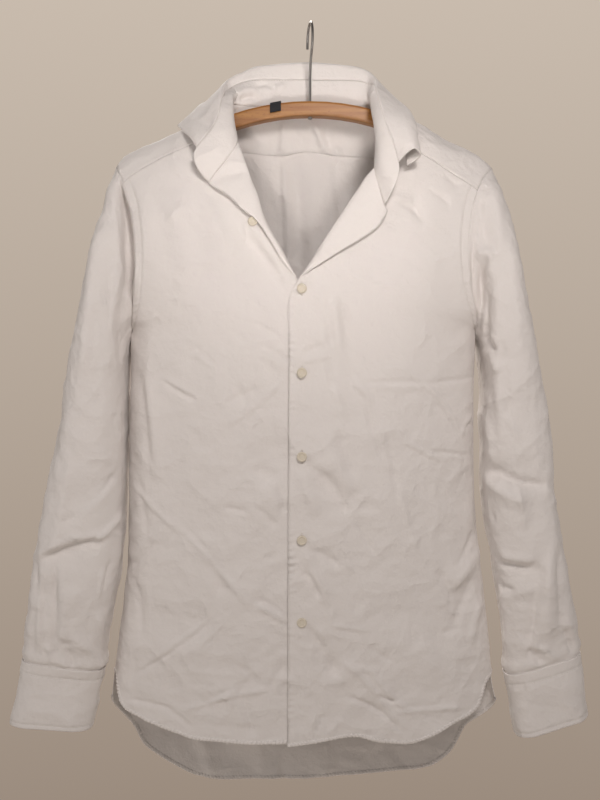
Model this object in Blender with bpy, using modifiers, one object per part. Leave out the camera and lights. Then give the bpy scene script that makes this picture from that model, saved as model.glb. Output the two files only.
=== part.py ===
"""A button-down shirt, open at the neck, on a plain wooden hanger with a steel hook.

Metres, +Z up. The origin is the point inside the top of the hook where the hanger hangs.
+X is the wearer's left, which a viewer in front sees on the right, and the front faces -Y.
Every cloth piece is an open surface of points, worked out from the short tables below and
thickened by Solidify. Pieces stay SEAM_GAP apart where the real ones are sewn together.
"""
import math
from collections import namedtuple

import bmesh
import bpy
import numpy as np
from mathutils import Matrix, Vector

CLOTH = 0.0012
STIFF_CLOTH = 0.0018
SEAM_GAP = 0.0006

# Body: the outline from the front and the depth of the front and back at each level.
Level = namedtuple("Level", "z right left front back")
BODY = [
    Level(-0.080, -0.272, 0.258, 0.072, 0.060),
    Level(-0.270, -0.264, 0.250, 0.072, 0.060),
    Level(-0.320, -0.232, 0.220, 0.072, 0.060),
    Level(-0.360, -0.204, 0.189, 0.072, 0.060),
    Level(-0.455, -0.206, 0.187, 0.070, 0.058),
    Level(-0.540, -0.207, 0.188, 0.066, 0.056),
    Level(-0.600, -0.208, 0.193, 0.062, 0.053),
    Level(-0.660, -0.213, 0.200, 0.058, 0.050),
    Level(-0.720, -0.221, 0.206, 0.054, 0.048),
    Level(-0.750, -0.225, 0.208, 0.052, 0.047),
    Level(-0.800, -0.229, 0.217, 0.050, 0.046),
    Level(-0.890, -0.229, 0.218, 0.050, 0.046),
]
UNDERARM_Z = -0.360
ROUNDNESS = 2.4
FRONT_SHOULDER_ROUNDNESS = 2.4
BACK_SHOULDER_ROUNDNESS = 1.8

# Top line of the shoulders, where the cloth turns over the hanger.
Ridge = namedtuple("Ridge", "x z")
SHOULDER = [
    Ridge(-0.240, -0.200),
    Ridge(-0.2215, -0.1660),
    Ridge(-0.2115, -0.1530),
    Ridge(-0.1800, -0.1370),
    Ridge(-0.1495, -0.1230),
    Ridge(-0.1100, -0.1065),
    Ridge(-0.0600, -0.0900),
    Ridge(0.0000, -0.0850),
    Ridge(0.0600, -0.0900),
    Ridge(0.1127, -0.1070),
    Ridge(0.1600, -0.1345),
    Ridge(0.1898, -0.1510),
    Ridge(0.2087, -0.1680),
    Ridge(0.2300, -0.2000),
]

# Armhole seam: how far out it lies at each level.
Armhole = namedtuple("Armhole", "z right left")
ARMHOLE = [
    Armhole(-0.1660, -0.2215, 0.2087),
    Armhole(-0.1880, -0.2097, 0.1910),
    Armhole(-0.2280, -0.1963, 0.1768),
    Armhole(-0.2700, -0.1918, 0.1729),
    Armhole(-0.3040, -0.1935, 0.1756),
    Armhole(-0.3400, -0.1980, 0.1850),
    Armhole(-0.3600, -0.2040, 0.1890),
]
SHOULDER_END = {"right": (-0.2215, -0.1660), "left": (0.2087, -0.1680)}

# Seam between the yoke and the back.
BACK_SEAM = [
    Ridge(-0.2100, -0.2130),
    Ridge(-0.1300, -0.1620),
    Ridge(-0.0790, -0.1405),
    Ridge(-0.0350, -0.1436),
    Ridge(-0.0040, -0.1388),
    Ridge(0.0300, -0.1430),
    Ridge(0.0750, -0.1455),
    Ridge(0.1300, -0.1640),
    Ridge(0.2100, -0.2130),
]

# Hems, from the middle or the closing edge of each panel (0) to the side seam (1).
Hem = namedtuple("Hem", "across front_right front_left back_right back_left")
HEM = [
    Hem(0.00, -0.810, -0.813, -0.884, -0.884),
    Hem(0.06, -0.810, -0.810, -0.884, -0.882),
    Hem(0.20, -0.811, -0.803, -0.884, -0.878),
    Hem(0.29, -0.809, -0.810, -0.884, -0.875),
    Hem(0.38, -0.807, -0.812, -0.879, -0.872),
    Hem(0.46, -0.801, -0.805, -0.868, -0.866),
    Hem(0.55, -0.794, -0.793, -0.853, -0.849),
    Hem(0.64, -0.787, -0.784, -0.837, -0.815),
    Hem(0.70, -0.783, -0.777, -0.815, -0.806),
    Hem(0.79, -0.773, -0.756, -0.798, -0.796),
    Hem(0.90, -0.745, -0.745, -0.784, -0.785),
    Hem(1.00, -0.742, -0.742, -0.774, -0.776),
]

# Open edge of each front, from the neck down: the line where it turns out, the free edge
# of the turned part and how far that stands off the front, and the armhole or side level.
# A row on the neck seam has the collar table's row that it meets.
Fold = namedtuple("Fold", "x z edge_x edge_z stand_off side_z seam")
LEFT_FOLDS = [
    Fold(0.0735, -0.1360, None, None, 0.0, -0.199, 16),
    Fold(0.0718, -0.1580, None, None, 0.0, -0.210, 16.55),
    Fold(0.0700, -0.1780, None, None, 0.0, -0.220, 17),
    Fold(0.0604, -0.1887, 0.0752, -0.2009, 0.0050, -0.231, 18),
    Fold(0.0516, -0.2022, 0.0795, -0.2205, 0.0060, -0.243, 19),
    Fold(0.0428, -0.2157, 0.0828, -0.2296, 0.0065, -0.257, None),
    Fold(0.0330, -0.2311, 0.0712, -0.2461, 0.0065, -0.272, None),
    Fold(0.0221, -0.2477, 0.0532, -0.2588, 0.0060, -0.288, None),
    Fold(0.0102, -0.2661, 0.0330, -0.2708, 0.0055, -0.304, None),
    Fold(-0.0018, -0.2856, 0.0062, -0.2883, 0.0040, -0.322, None),
    Fold(-0.0126, -0.3008, None, None, 0.0, -0.336, None),
    Fold(-0.0223, -0.3170, None, None, 0.0, -0.347, None),
    Fold(-0.0236, -0.3600, None, None, 0.0, -0.360, None),
]
RIGHT_FOLDS = [
    Fold(-0.0832, -0.1327, None, None, 0.0, -0.190, 4),
    Fold(-0.0804, -0.1464, None, None, 0.0, -0.203, 3),
    Fold(-0.0755, -0.1594, -0.0837, -0.1572, 0.0040, -0.214, 2),
    Fold(-0.0721, -0.1698, -0.0969, -0.1761, 0.0055, -0.225, 1),
    Fold(-0.0682, -0.1811, -0.1107, -0.1940, 0.0060, -0.237, 0),
    Fold(-0.0648, -0.1914, -0.1048, -0.2002, 0.0060, -0.248, None),
    Fold(-0.0582, -0.2070, -0.0894, -0.2100, 0.0060, -0.262, None),
    Fold(-0.0516, -0.2302, -0.0752, -0.2244, 0.0060, -0.278, None),
    Fold(-0.0418, -0.2509, -0.0590, -0.2374, 0.0055, -0.294, None),
    Fold(-0.0310, -0.2693, -0.0439, -0.2590, 0.0045, -0.310, None),
    Fold(-0.0223, -0.2867, -0.0299, -0.2828, 0.0030, -0.325, None),
    Fold(-0.0150, -0.3010, None, None, 0.0, -0.338, None),
    Fold(0.0040, -0.3180, None, None, 0.0, -0.348, None),
    Fold(0.0070, -0.3600, None, None, 0.0, -0.360, None),
]
CLOSING_EDGE_X = {"left": -0.0252, "right": 0.0070}
OVERLAP_LIFT = 0.0026
OVERLAP_FADE = (0.010, 0.055)

# The collar's section at each place along the neck seam, from the wearer's right front,
# round the back, to the left front: the seam, how far the stand bows inward and its crest,
# where the leaf is sewn on.
Collar = namedtuple("Collar", "x y z bow crest_x crest_y crest_z")
COLLAR = [
    Collar(-.1107, -.0600, -.1940, .002, -.1376, -.0630, -.1733),
    Collar(-.0969, -.0600, -.1761, .003, -.1240, -.0605, -.1555),
    Collar(-.0837, -.0555, -.1572, .004, -.1098, -.0540, -.1359),
    Collar(-.0804, -.0475, -.1464, .005, -.1031, -.0470, -.1216),
    Collar(-.0832, -.0380, -.1327, .006, -.1010, -.0370, -.1060),
    Collar(-.0869, -.0240, -.1143, .007, -.0996, -.0210, -.0915),
    Collar(-.0896, -.0100, -.0978, .008, -.0985, -.0020, -.0800),
    Collar(-.0890, .0020, -.0908, .007, -.0925, .0110, -.0700),
    Collar(-.0753, .0100, -.0908, .004, -.0792, .0170, -.0615),
    Collar(-.0557, .0130, -.0910, .002, -.0575, .0170, -.0580),
    Collar(.0000, .0140, -.0907, .001, .0000, .0165, -.0585),
    Collar(.0500, .0130, -.0910, .001, .0495, .0165, -.0590),
    Collar(.0670, .0090, -.0910, .003, .0670, .0120, -.0640),
    Collar(.0760, .0000, -.0930, .009, .0735, -.0140, -.0735),
    Collar(.0770, -.0120, -.1010, .009, .0750, -.0360, -.0905),
    Collar(.0755, -.0250, -.1150, .009, .0778, -.0520, -.1095),
    Collar(.0735, -.0400, -.1360, .008, .0828, -.0660, -.1326),
    Collar(.0700, -.0590, -.1780, .004, .0886, -.0740, -.1531),
    Collar(.0742, -.0650, -.1990, .003, .0943, -.0780, -.1756),
    Collar(.0795, -.0700, -.2205, .002, .1010, -.0820, -.1965),
]

# At the same places: the top of the leaf's roll, how far the roll is pushed out and the
# leaf's outer edge.
Leaf = namedtuple("Leaf", "top_x top_y top_z roll edge_x edge_y edge_z")
LEAF = [
    Leaf(-.1500, -.0400, -.1550, .000, -.1590, -.0170, -.1290),
    Leaf(-.1330, -.0400, -.1335, .000, -.1440, -.0100, -.1125),
    Leaf(-.1235, -.0300, -.1170, .000, -.1345, -.0040, -.1015),
    Leaf(-.1160, -.0220, -.1010, .002, -.1265, .0040, -.0905),
    Leaf(-.1100, -.0120, -.0850, .004, -.1215, .0140, -.0860),
    Leaf(-.1040, .0020, -.0725, .006, -.1200, .0260, -.0900),
    Leaf(-.0975, .0140, -.0610, .007, -.1160, .0380, -.0930),
    Leaf(-.0890, .0200, -.0535, .007, -.1060, .0450, -.0900),
    Leaf(-.0775, .0230, -.0470, .006, -.0880, .0450, -.0860),
    Leaf(-.0590, .0230, -.0405, .005, -.0610, .0400, -.0830),
    Leaf(.0000, .0210, -.0372, .004, .0000, .0360, -.0820),
    Leaf(.0490, .0220, -.0405, .005, .0530, .0400, -.0830),
    Leaf(.0670, .0190, -.0470, .006, .0780, .0380, -.0850),
    Leaf(.0790, .0040, -.0640, .007, .0950, .0300, -.0930),
    Leaf(.0900, -.0150, -.0850, .007, .1040, .0120, -.0965),
    Leaf(.0990, -.0340, -.1040, .007, .1100, -.0060, -.1015),
    Leaf(.1050, -.0560, -.1220, .008, .1120, -.0380, -.1310),
    Leaf(.1070, -.0720, -.1385, .009, .1060, -.0550, -.1560),
    Leaf(.1110, -.0800, -.1590, .009, .1040, -.0630, -.1700),
    Leaf(.1150, -.0840, -.1760, .008, .1060, -.0680, -.1860),
]
STAND_START = 0.0018
CREST_GAP = 0.0042
STAND_END_ROUND = 0.022
STAND_PATH_STEPS = 60
POINT_SPREAD = 0.010

# Sleeves: the outer and inner edge of the outline and half the depth at each place.
Sleeve = namedtuple("Sleeve", "outer_x outer_z inner_x inner_z half_depth middle_y")
RIGHT_SLEEVE = [
    Sleeve(-0.2215, -0.1660, -0.2040, -0.3600, 0.052, 0.002),
    Sleeve(-0.2335, -0.2150, -0.2075, -0.3720, 0.060, 0.000),
    Sleeve(-0.2475, -0.2800, -0.2095, -0.3950, 0.064, -0.002),
    Sleeve(-0.2625, -0.3450, -0.2100, -0.4250, 0.062, -0.004),
    Sleeve(-0.2785, -0.4250, -0.2088, -0.4750, 0.058, -0.006),
    Sleeve(-0.2985, -0.5350, -0.2097, -0.5600, 0.050, -0.008),
    Sleeve(-0.3118, -0.6180, -0.2165, -0.6200, 0.044, -0.010),
    Sleeve(-0.3208, -0.6900, -0.2310, -0.6950, 0.037, -0.010),
    Sleeve(-0.3248, -0.7230, -0.2350, -0.7350, 0.029, -0.010),
]
LEFT_SLEEVE = [
    Sleeve(0.2087, -0.1680, 0.1890, -0.3600, 0.052, 0.002),
    Sleeve(0.2240, -0.2180, 0.1925, -0.3680, 0.060, 0.000),
    Sleeve(0.2358, -0.2800, 0.1960, -0.3880, 0.064, -0.002),
    Sleeve(0.2487, -0.3450, 0.1985, -0.4180, 0.062, -0.004),
    Sleeve(0.2628, -0.4250, 0.1955, -0.4650, 0.058, -0.006),
    Sleeve(0.2760, -0.5400, 0.1980, -0.5450, 0.050, -0.008),
    Sleeve(0.2888, -0.6200, 0.2100, -0.6290, 0.044, -0.010),
    Sleeve(0.3003, -0.6800, 0.2205, -0.6920, 0.037, -0.010),
    Sleeve(0.3043, -0.7150, 0.2220, -0.7400, 0.029, -0.010),
]
SLEEVE_ROUNDNESS = 3.0
SLEEVE_HEAD_ROWS = 1.6

# Cuffs: the upper and lower rim, as the sleeve table has them.
RIGHT_CUFF = [
    Sleeve(-0.3256, -0.7239, -0.2342, -0.7359, 0.030, -0.010),
    Sleeve(-0.3380, -0.7960, -0.2475, -0.8020, 0.029, -0.010),
]
LEFT_CUFF = [
    Sleeve(0.3050, -0.7159, 0.2213, -0.7409, 0.030, -0.010),
    Sleeve(0.3145, -0.7860, 0.2350, -0.8110, 0.029, -0.010),
]
CUFF_START_DEGREES = 285
CUFF_LAP_DEGREES = 62
CUFF_LAP_LIFT = 0.0034

# The largest folds: the ends of each, half its width and how far it stands out. A height
# below zero is a trough. The first tables are on the side that faces a viewer in front.
Wave = namedtuple("Wave", "from_x from_z to_x to_z half_width height")
FRONT_WAVES = [
    Wave(-0.155, -0.195, -0.125, -0.306, 0.014, 0.0040),
    Wave(-0.137, -0.232, -0.114, -0.317, 0.012, -0.0032),
    Wave(-0.118, -0.212, -0.080, -0.290, 0.014, 0.0036),
    Wave(-0.084, -0.250, -0.028, -0.314, 0.012, -0.0038),
    Wave(-0.184, -0.401, -0.173, -0.508, 0.015, 0.0026),
    Wave(-0.070, -0.508, -0.026, -0.476, 0.015, -0.0026),
    Wave(-0.056, -0.567, -0.038, -0.518, 0.018, 0.0034),
    Wave(-0.140, -0.590, -0.060, -0.660, 0.020, 0.0022),
    Wave(-0.180, -0.700, -0.110, -0.720, 0.020, 0.0026),
    Wave(0.004, -0.508, 0.042, -0.558, 0.013, -0.0034),
    Wave(0.016, -0.490, 0.052, -0.538, 0.016, 0.0026),
    Wave(0.006, -0.684, 0.030, -0.738, 0.013, -0.0032),
    Wave(0.178, -0.604, 0.156, -0.640, 0.013, 0.0034),
    Wave(0.176, -0.626, 0.152, -0.690, 0.013, -0.0028),
    Wave(0.104, -0.190, 0.116, -0.235, 0.015, -0.0026),
    Wave(0.132, -0.250, 0.104, -0.450, 0.026, 0.0030),
    Wave(0.034, -0.320, 0.050, -0.420, 0.016, -0.0024),
    Wave(0.070, -0.440, 0.094, -0.600, 0.020, 0.0024),
    Wave(0.034, -0.716, 0.084, -0.770, 0.014, 0.0026),
    Wave(0.120, -0.690, 0.150, -0.760, 0.018, 0.0026),
]
BACK_WAVES = [
    Wave(-0.030, -0.180, -0.022, -0.760, 0.016, 0.0045),
    Wave(0.030, -0.180, 0.044, -0.700, 0.016, 0.0040),
    Wave(0.006, -0.190, 0.010, -0.640, 0.016, -0.0035),
    Wave(-0.130, -0.280, -0.090, -0.420, 0.022, -0.0030),
    Wave(0.130, -0.290, 0.084, -0.440, 0.022, -0.0032),
    Wave(-0.160, -0.460, -0.080, -0.600, 0.022, 0.0034),
    Wave(0.150, -0.480, 0.090, -0.640, 0.020, 0.0032),
    Wave(-0.110, -0.700, -0.070, -0.860, 0.022, -0.0034),
    Wave(0.100, -0.700, 0.120, -0.850, 0.020, 0.0034),
]
RIGHT_SLEEVE_WAVES = [
    Wave(-0.214, -0.200, -0.203, -0.320, 0.010, -0.0060),
    Wave(-0.236, -0.230, -0.250, -0.420, 0.016, 0.0030),
    Wave(-0.204, -0.505, -0.270, -0.566, 0.014, -0.0040),
    Wave(-0.212, -0.520, -0.262, -0.572, 0.014, 0.0036),
    Wave(-0.222, -0.585, -0.296, -0.610, 0.014, -0.0034),
    Wave(-0.286, -0.620, -0.284, -0.710, 0.012, -0.0032),
    Wave(-0.262, -0.630, -0.266, -0.700, 0.014, 0.0034),
]
LEFT_SLEEVE_WAVES = [
    Wave(0.192, -0.285, 0.193, -0.370, 0.010, -0.0060),
    Wave(0.216, -0.230, 0.232, -0.440, 0.016, 0.0030),
    Wave(0.194, -0.506, 0.262, -0.530, 0.014, -0.0048),
    Wave(0.196, -0.520, 0.240, -0.552, 0.014, 0.0040),
    Wave(0.208, -0.618, 0.252, -0.628, 0.014, -0.0036),
    Wave(0.268, -0.600, 0.264, -0.700, 0.012, 0.0036),
    Wave(0.232, -0.640, 0.236, -0.705, 0.014, -0.0030),
]
BEHIND_SLEEVE_WAVES = [
    Wave(-0.216, -0.240, -0.256, -0.360, 0.016, 0.0040),
    Wave(-0.218, -0.470, -0.286, -0.530, 0.016, -0.0042),
    Wave(-0.226, -0.520, -0.292, -0.570, 0.016, 0.0040),
    Wave(-0.270, -0.640, -0.284, -0.705, 0.014, 0.0036),
    Wave(0.202, -0.240, 0.240, -0.370, 0.016, 0.0040),
    Wave(0.204, -0.460, 0.268, -0.510, 0.016, -0.0042),
    Wave(0.206, -0.520, 0.272, -0.575, 0.016, 0.0040),
    Wave(0.250, -0.640, 0.262, -0.700, 0.014, -0.0036),
]
WAVE_FADE = 0.25

# Hanger: a bar cut to an arc, with the hook's wire through its middle.
BAR_TOP_Z = -0.0895
BAR_HEIGHT = 0.017
BAR_DEPTH = 0.016
BAR_ARC_RADIUS = 0.275
BAR_HALF_SPAN = 0.200
BAR_ROUNDING = 0.003
WIRE_RADIUS = 0.0015
BORE_RADIUS = 0.0019
HOOK_RADIUS = 0.020
HOOK_END_DROP = 0.003
HOOK_LOWER_DEGREES = 225
HOOK_TURN_DEGREES = 8
NUT_RADIUS = 0.0026
NUT_HEIGHT = 0.0024

BUTTON_RADIUS = 0.0055
BUTTON_HEIGHT = 0.0026
BUTTON_X = -0.0095
FIRST_BUTTON_Z = -0.312
BUTTON_SPACING = 0.0905
FASTENED_BUTTONS = 5
BUTTON_GAP = 0.0004
OPEN_BUTTON = (-0.0625, -0.2385)

LABEL_X = -0.0395
LABEL_WIDTH = 0.0125
LABEL_CLOTH = 0.0010
LABEL_SLANT = 0.20

# The label's way from the neck seam over the bar: how far back and how far above its top.
Drape = namedtuple("Drape", "y rise")
LABEL_PATH = [
    Drape(0.0110, 0.0014),
    Drape(0.0020, 0.0016),
    Drape(-0.0060, 0.0012),
    Drape(-0.0088, -0.0010),
    Drape(-0.0096, -0.0050),
    Drape(-0.0104, -0.0108),
]

# Half of a button's section, as shares of its radius and its height.
Turned = namedtuple("Turned", "radius height")
BUTTON_PROFILE = [
    Turned(0.00, 0.72),
    Turned(0.52, 0.72),
    Turned(0.70, 1.00),
    Turned(0.90, 0.94),
    Turned(1.00, 0.62),
    Turned(0.96, 0.25),
    Turned(0.80, 0.00),
    Turned(0.00, 0.00),
]


def column(table, name):
    return np.array([getattr(row, name) for row in table], dtype=float)


def eased(knots, values, at):
    """Smooth values between the knots, which never overshoot the table's own."""
    knots = np.asarray(knots, dtype=float)
    values = np.asarray(values, dtype=float)
    if knots[0] > knots[-1]:
        knots, values = knots[::-1], values[::-1]
    at = np.clip(np.asarray(at, dtype=float), knots[0], knots[-1])
    width = np.diff(knots)
    slope = np.diff(values) / width
    tangent = np.zeros_like(values)
    product = slope[:-1] * slope[1:]
    total = np.where(product > 0, slope[:-1] + slope[1:], 1.0)
    tangent[1:-1] = np.where(product > 0, 2 * product / total, 0.0)
    tangent[0], tangent[-1] = slope[0], slope[-1]
    index = np.clip(np.searchsorted(knots, at, side="right") - 1, 0, len(width) - 1)
    u = (at - knots[index]) / width[index]
    h = width[index]
    start = (1 + 2 * u) * (1 - u) ** 2 * values[index]
    leave = u * (1 - u) ** 2 * h * tangent[index]
    end = u ** 2 * (3 - 2 * u) * values[index + 1]
    arrive = u ** 2 * (u - 1) * h * tangent[index + 1]
    return start + leave + end + arrive


def ease_step(value, low, high):
    u = np.clip((value - low) / (high - low), 0.0, 1.0)
    return u * u * (3 - 2 * u)


def blend(start, end, share):
    return start + (end - start) * share


# The body's surface

def body_level(name, z):
    return eased(column(BODY, "z"), column(BODY, name), z)


def body_middle_and_half(z):
    right = body_level("right", z)
    left = body_level("left", z)
    return (left + right) / 2, (left - right) / 2


def shoulder_line(x):
    return eased(column(SHOULDER, "x"), column(SHOULDER, "z"), x)


def side_falloff(x, z):
    middle, half = body_middle_and_half(z)
    share = np.clip(np.abs((x - middle) / half), 0.0, 1.0)
    return (1 - share ** ROUNDNESS) ** (1 / ROUNDNESS)


def shoulder_falloff(x, z, roundness):
    height = (z - UNDERARM_Z) / (shoulder_line(x) - UNDERARM_Z)
    height = np.clip(height, 0.0, 1.0)
    return (1 - height ** roundness) ** (1 / roundness)


def front_y(x, z):
    depth = body_level("front", z) * side_falloff(x, z)
    return -depth * shoulder_falloff(x, z, FRONT_SHOULDER_ROUNDNESS) - SEAM_GAP / 2


def back_y(x, z):
    depth = body_level("back", z) * side_falloff(x, z)
    return depth * shoulder_falloff(x, z, BACK_SHOULDER_ROUNDNESS) + SEAM_GAP / 2


def wave_height(waves, x, z):
    """How far the cloth stands out at a place because of its largest folds."""
    total = np.zeros(np.broadcast(x, z).shape)
    for wave in waves:
        run_x = wave.to_x - wave.from_x
        run_z = wave.to_z - wave.from_z
        length = math.hypot(run_x, run_z)
        part = ((x - wave.from_x) * run_x + (z - wave.from_z) * run_z) / length ** 2
        off = ((x - wave.from_x) * run_z - (z - wave.from_z) * run_x) / length
        fade = ease_step(part, 0, WAVE_FADE) * (1 - ease_step(part, 1 - WAVE_FADE, 1))
        total = total + wave.height * np.exp(-(off / wave.half_width) ** 2) * fade
    return total


def back_surface(x, z):
    return back_y(x, z) + wave_height(BACK_WAVES, x, z)


def shoulder_z(x, y):
    """Height of the shoulder cloth over a point in plan."""
    top = shoulder_line(x)
    in_front = y < 0
    depth = np.where(in_front, BODY[0].front, BODY[0].back) * side_falloff(x, top)
    roundness = np.where(in_front, FRONT_SHOULDER_ROUNDNESS, BACK_SHOULDER_ROUNDNESS)
    share = np.clip(np.abs(y) / np.maximum(depth, 1e-6), 0.0, 0.999)
    return UNDERARM_Z + (top - UNDERARM_Z) * (1 - share ** roundness) ** (1 / roundness)


def armhole_x(side, z):
    return eased(column(ARMHOLE, "z"), column(ARMHOLE, side), z)


def armhole_ring(side, turn):
    """Armhole seam: turn 0 at the shoulder, a quarter in front, a half at the underarm."""
    end_x, end_z = SHOULDER_END[side]
    z = (end_z + UNDERARM_Z) / 2 + (end_z - UNDERARM_Z) / 2 * np.cos(turn)
    x = armhole_x(side, z)
    y = np.where(np.sin(turn) > 0, front_y(x, z), back_y(x, z))
    return np.stack([x, y, z], axis=-1)


# The neck seam and the collar's surface

def collar_value(name, row):
    table = COLLAR if name in Collar._fields else LEAF
    return eased(np.arange(len(table)), column(table, name), row)


def collar_spot(prefix, row):
    return np.stack([collar_value(prefix + name, row) for name in ("x", "y", "z")], axis=-1)


def neck_seam(row):
    return collar_spot("", row)


def collar_lengths():
    """Length along the neck seam at each of many rows, to space things evenly."""
    rows = np.linspace(0, len(COLLAR) - 1, 400)
    steps = np.linalg.norm(np.diff(neck_seam(rows), axis=0), axis=1)
    return rows, np.concatenate([[0.0], np.cumsum(steps)])


SEAM_ROWS, SEAM_LENGTHS = collar_lengths()


def rows_between(start, end, count):
    """Rows of the collar table at even lengths, from a distance off each end."""
    lengths = np.linspace(start, SEAM_LENGTHS[-1] - end, count + 1)
    return np.interp(lengths, SEAM_LENGTHS, SEAM_ROWS)


def unit(vectors):
    return vectors / np.linalg.norm(vectors, axis=-1, keepdims=True)


def smooth_path(knots, count):
    """Points at even lengths on a smooth curve through knots: arrays of (places, 3)."""
    knots = np.array(knots)
    chords = np.linalg.norm(np.diff(knots, axis=0), axis=-1, keepdims=True)
    slopes = np.diff(knots, axis=0) / chords
    tangents = np.empty_like(knots)
    weight = chords[:-1] / (chords[:-1] + chords[1:])
    tangents[1:-1] = slopes[:-1] * (1 - weight) + slopes[1:] * weight
    tangents[0] = slopes[0] * 1.5 - tangents[1] * 0.5
    tangents[-1] = slopes[-1] * 1.5 - tangents[-2] * 0.5
    dense = [knots[0]]
    for number in range(len(knots) - 1):
        for u in np.linspace(0, 1, 13)[1:]:
            point = (1 + 2 * u) * (1 - u) ** 2 * knots[number]
            point = point + u * (1 - u) ** 2 * chords[number] * tangents[number]
            point = point + u ** 2 * (3 - 2 * u) * knots[number + 1]
            point = point + u ** 2 * (u - 1) * chords[number] * tangents[number + 1]
            dense.append(point)
    dense = np.array(dense)
    steps = np.linalg.norm(np.diff(dense, axis=0), axis=-1)
    lengths = np.concatenate([np.zeros((1, steps.shape[1])), np.cumsum(steps, axis=0)])
    path = np.empty((count + 1,) + dense.shape[1:])
    for place in range(dense.shape[1]):
        wanted = np.linspace(0, lengths[-1, place], count + 1)
        for axis in range(3):
            path[:, place, axis] = np.interp(wanted, lengths[:, place], dense[:, place, axis])
    return path


def collar_knots(row):
    """Six points across the collar: seam, bow, crest, roll top, roll side and edge."""
    seam = neck_seam(row)
    crest = collar_spot("crest_", row)
    top = collar_spot("top_", row)
    edge = collar_spot("edge_", row)
    along = unit(neck_seam(row + 0.05) - neck_seam(row - 0.05))
    inward = unit(np.cross(along, crest - seam))
    bowed = (seam + crest) / 2 + inward * collar_value("bow", row)[..., None]
    level = np.array([1.0, 1.0, 0.0])
    out = unit(unit((top - seam) * level) + unit((edge - crest) * level))
    side = blend(top, edge, 0.3) + out * collar_value("roll", row)[..., None]
    return [seam, bowed, crest, top, side, edge]


def stand_rows(lengthwise, crosswise):
    """Stand, whose ends are rounded: each row starts further in, the higher it is."""
    rows = []
    for part in np.linspace(0, 1, crosswise + 1):
        inset = STAND_END_ROUND * (1 - math.sqrt(1 - part ** 2))
        places = rows_between(inset, inset, lengthwise)
        seam, bowed, crest = collar_knots(places)[:3]
        path = smooth_path([seam, bowed, crest], STAND_PATH_STEPS)
        height = np.linalg.norm(np.diff(path, axis=0), axis=-1).sum(axis=0)
        start = STAND_START / height
        wanted = (start + (1 - start - CREST_GAP / 3 / height) * part) * STAND_PATH_STEPS
        low = np.minimum(wanted.astype(int), STAND_PATH_STEPS - 1)
        index = np.arange(len(places))
        share = (wanted - low)[:, None]
        rows.append(blend(path[low, index], path[low + 1, index], share))
    return np.array(rows)


def leaf_rows(lengthwise, crosswise):
    """Leaf, whose points spread further along the seam than its sewn edge."""
    rows = []
    for number in range(crosswise + 1):
        part = number / crosswise
        inset = STAND_END_ROUND - POINT_SPREAD * part
        places = rows_between(inset, inset, lengthwise)
        knots = collar_knots(places)
        path = smooth_path(knots[2:], crosswise * 4)
        if number == 0:
            set_off = unit(path[1] - path[0]) * CREST_GAP * 2 / 3
            rows.append(path[0] + set_off)
        else:
            rows.append(path[number * 4])
    return np.array(rows)


# The panels

def overlap_lift(side, x):
    if side == "right":
        return np.zeros_like(x)
    return OVERLAP_LIFT * (1 - ease_step(x, *OVERLAP_FADE))


def front_surface(side, x, z):
    return front_y(x, z) - overlap_lift(side, x) - wave_height(FRONT_WAVES, x, z)


def front_row(side, inner, inner_z, outer, outer_z, columns):
    """Points from the open edge to the armhole or the side seam."""
    part = np.linspace(0, 1, columns + 1)
    z = blend(inner_z, outer_z, part)
    middle, half = body_middle_and_half(z)
    start = np.arcsin(np.clip((inner - middle[0]) / half[0], -1, 1))
    end = np.arcsin(np.clip((outer - middle[-1]) / half[-1], -1, 1))
    x = middle + half * np.sin(blend(start, end, part))
    return x, z


def front_panel(side, columns, lower_rows):
    folds = LEFT_FOLDS if side == "left" else RIGHT_FOLDS
    sign = 1 if side == "left" else -1
    part = np.linspace(0, 1, columns + 1)
    rows = []
    for number, fold in enumerate(folds):
        outer = armhole_x(side, fold.side_z)
        x, z = front_row(side, fold.x, fold.z, outer, fold.side_z, columns)
        if number == 0:
            rows.append(yoke_front_edge(side, part) + np.array([0.0, -1.8, -2.2]) * SEAM_GAP)
            continue
        y = front_surface(side, x, z)
        if fold.seam is not None and fold.edge_x is None:
            seam = neck_seam(fold.seam)
            fade = (1 - part) ** 3
            x = x + (seam[0] - x[0]) * fade
            y = y + (seam[1] - y[0]) * fade
            z = z + (seam[2] - z[0]) * fade
        rows.append(np.stack([x, y, z], axis=-1))
    hem = eased(column(HEM, "across"), column(HEM, "front_" + side), part)
    for share in np.linspace(0, 1, lower_rows + 1)[1:]:
        z = blend(UNDERARM_Z, hem, share)
        middle, half = body_middle_and_half(z)
        inner = blend(folds[-1].x, CLOSING_EDGE_X[side], share)
        start = np.arcsin((inner - middle) / half)
        x = middle + half * np.sin(blend(start, sign * math.pi / 2, part))
        rows.append(np.stack([x, front_surface(side, x, z), z], axis=-1))
    return np.array(rows)


def lapel(side, panel, columns):
    """Turned-out part of a front, from its fold to its free edge or the neck seam."""
    folds = LEFT_FOLDS if side == "left" else RIGHT_FOLDS
    numbers = [n for n, fold in enumerate(folds) if fold.edge_x is not None]
    rows = []
    for number in range(numbers[0] - 1, numbers[-1] + 2):
        fold = folds[number]
        start = panel[number][0]
        if fold.edge_x is None:
            rows.append(np.repeat(start[None, :], columns + 1, axis=0))
            continue
        if fold.seam is not None:
            end = neck_seam(fold.seam)
        else:
            edge_y = front_surface(side, fold.edge_x, fold.edge_z) - fold.stand_off
            end = np.array([fold.edge_x, float(edge_y), fold.edge_z])
        share = np.linspace(0, 1, columns + 1) ** 1.3
        x = blend(start[0], end[0], share ** 1.5)
        z = blend(start[2], end[2], share ** 1.5)
        surface = front_surface(side, x, z)
        lift = blend(surface[0] - start[1], surface[-1] - end[1], 1 - (1 - share) ** 3)
        rows.append(np.stack([x, surface - lift, z], axis=-1))
    return np.array(rows)


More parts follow.
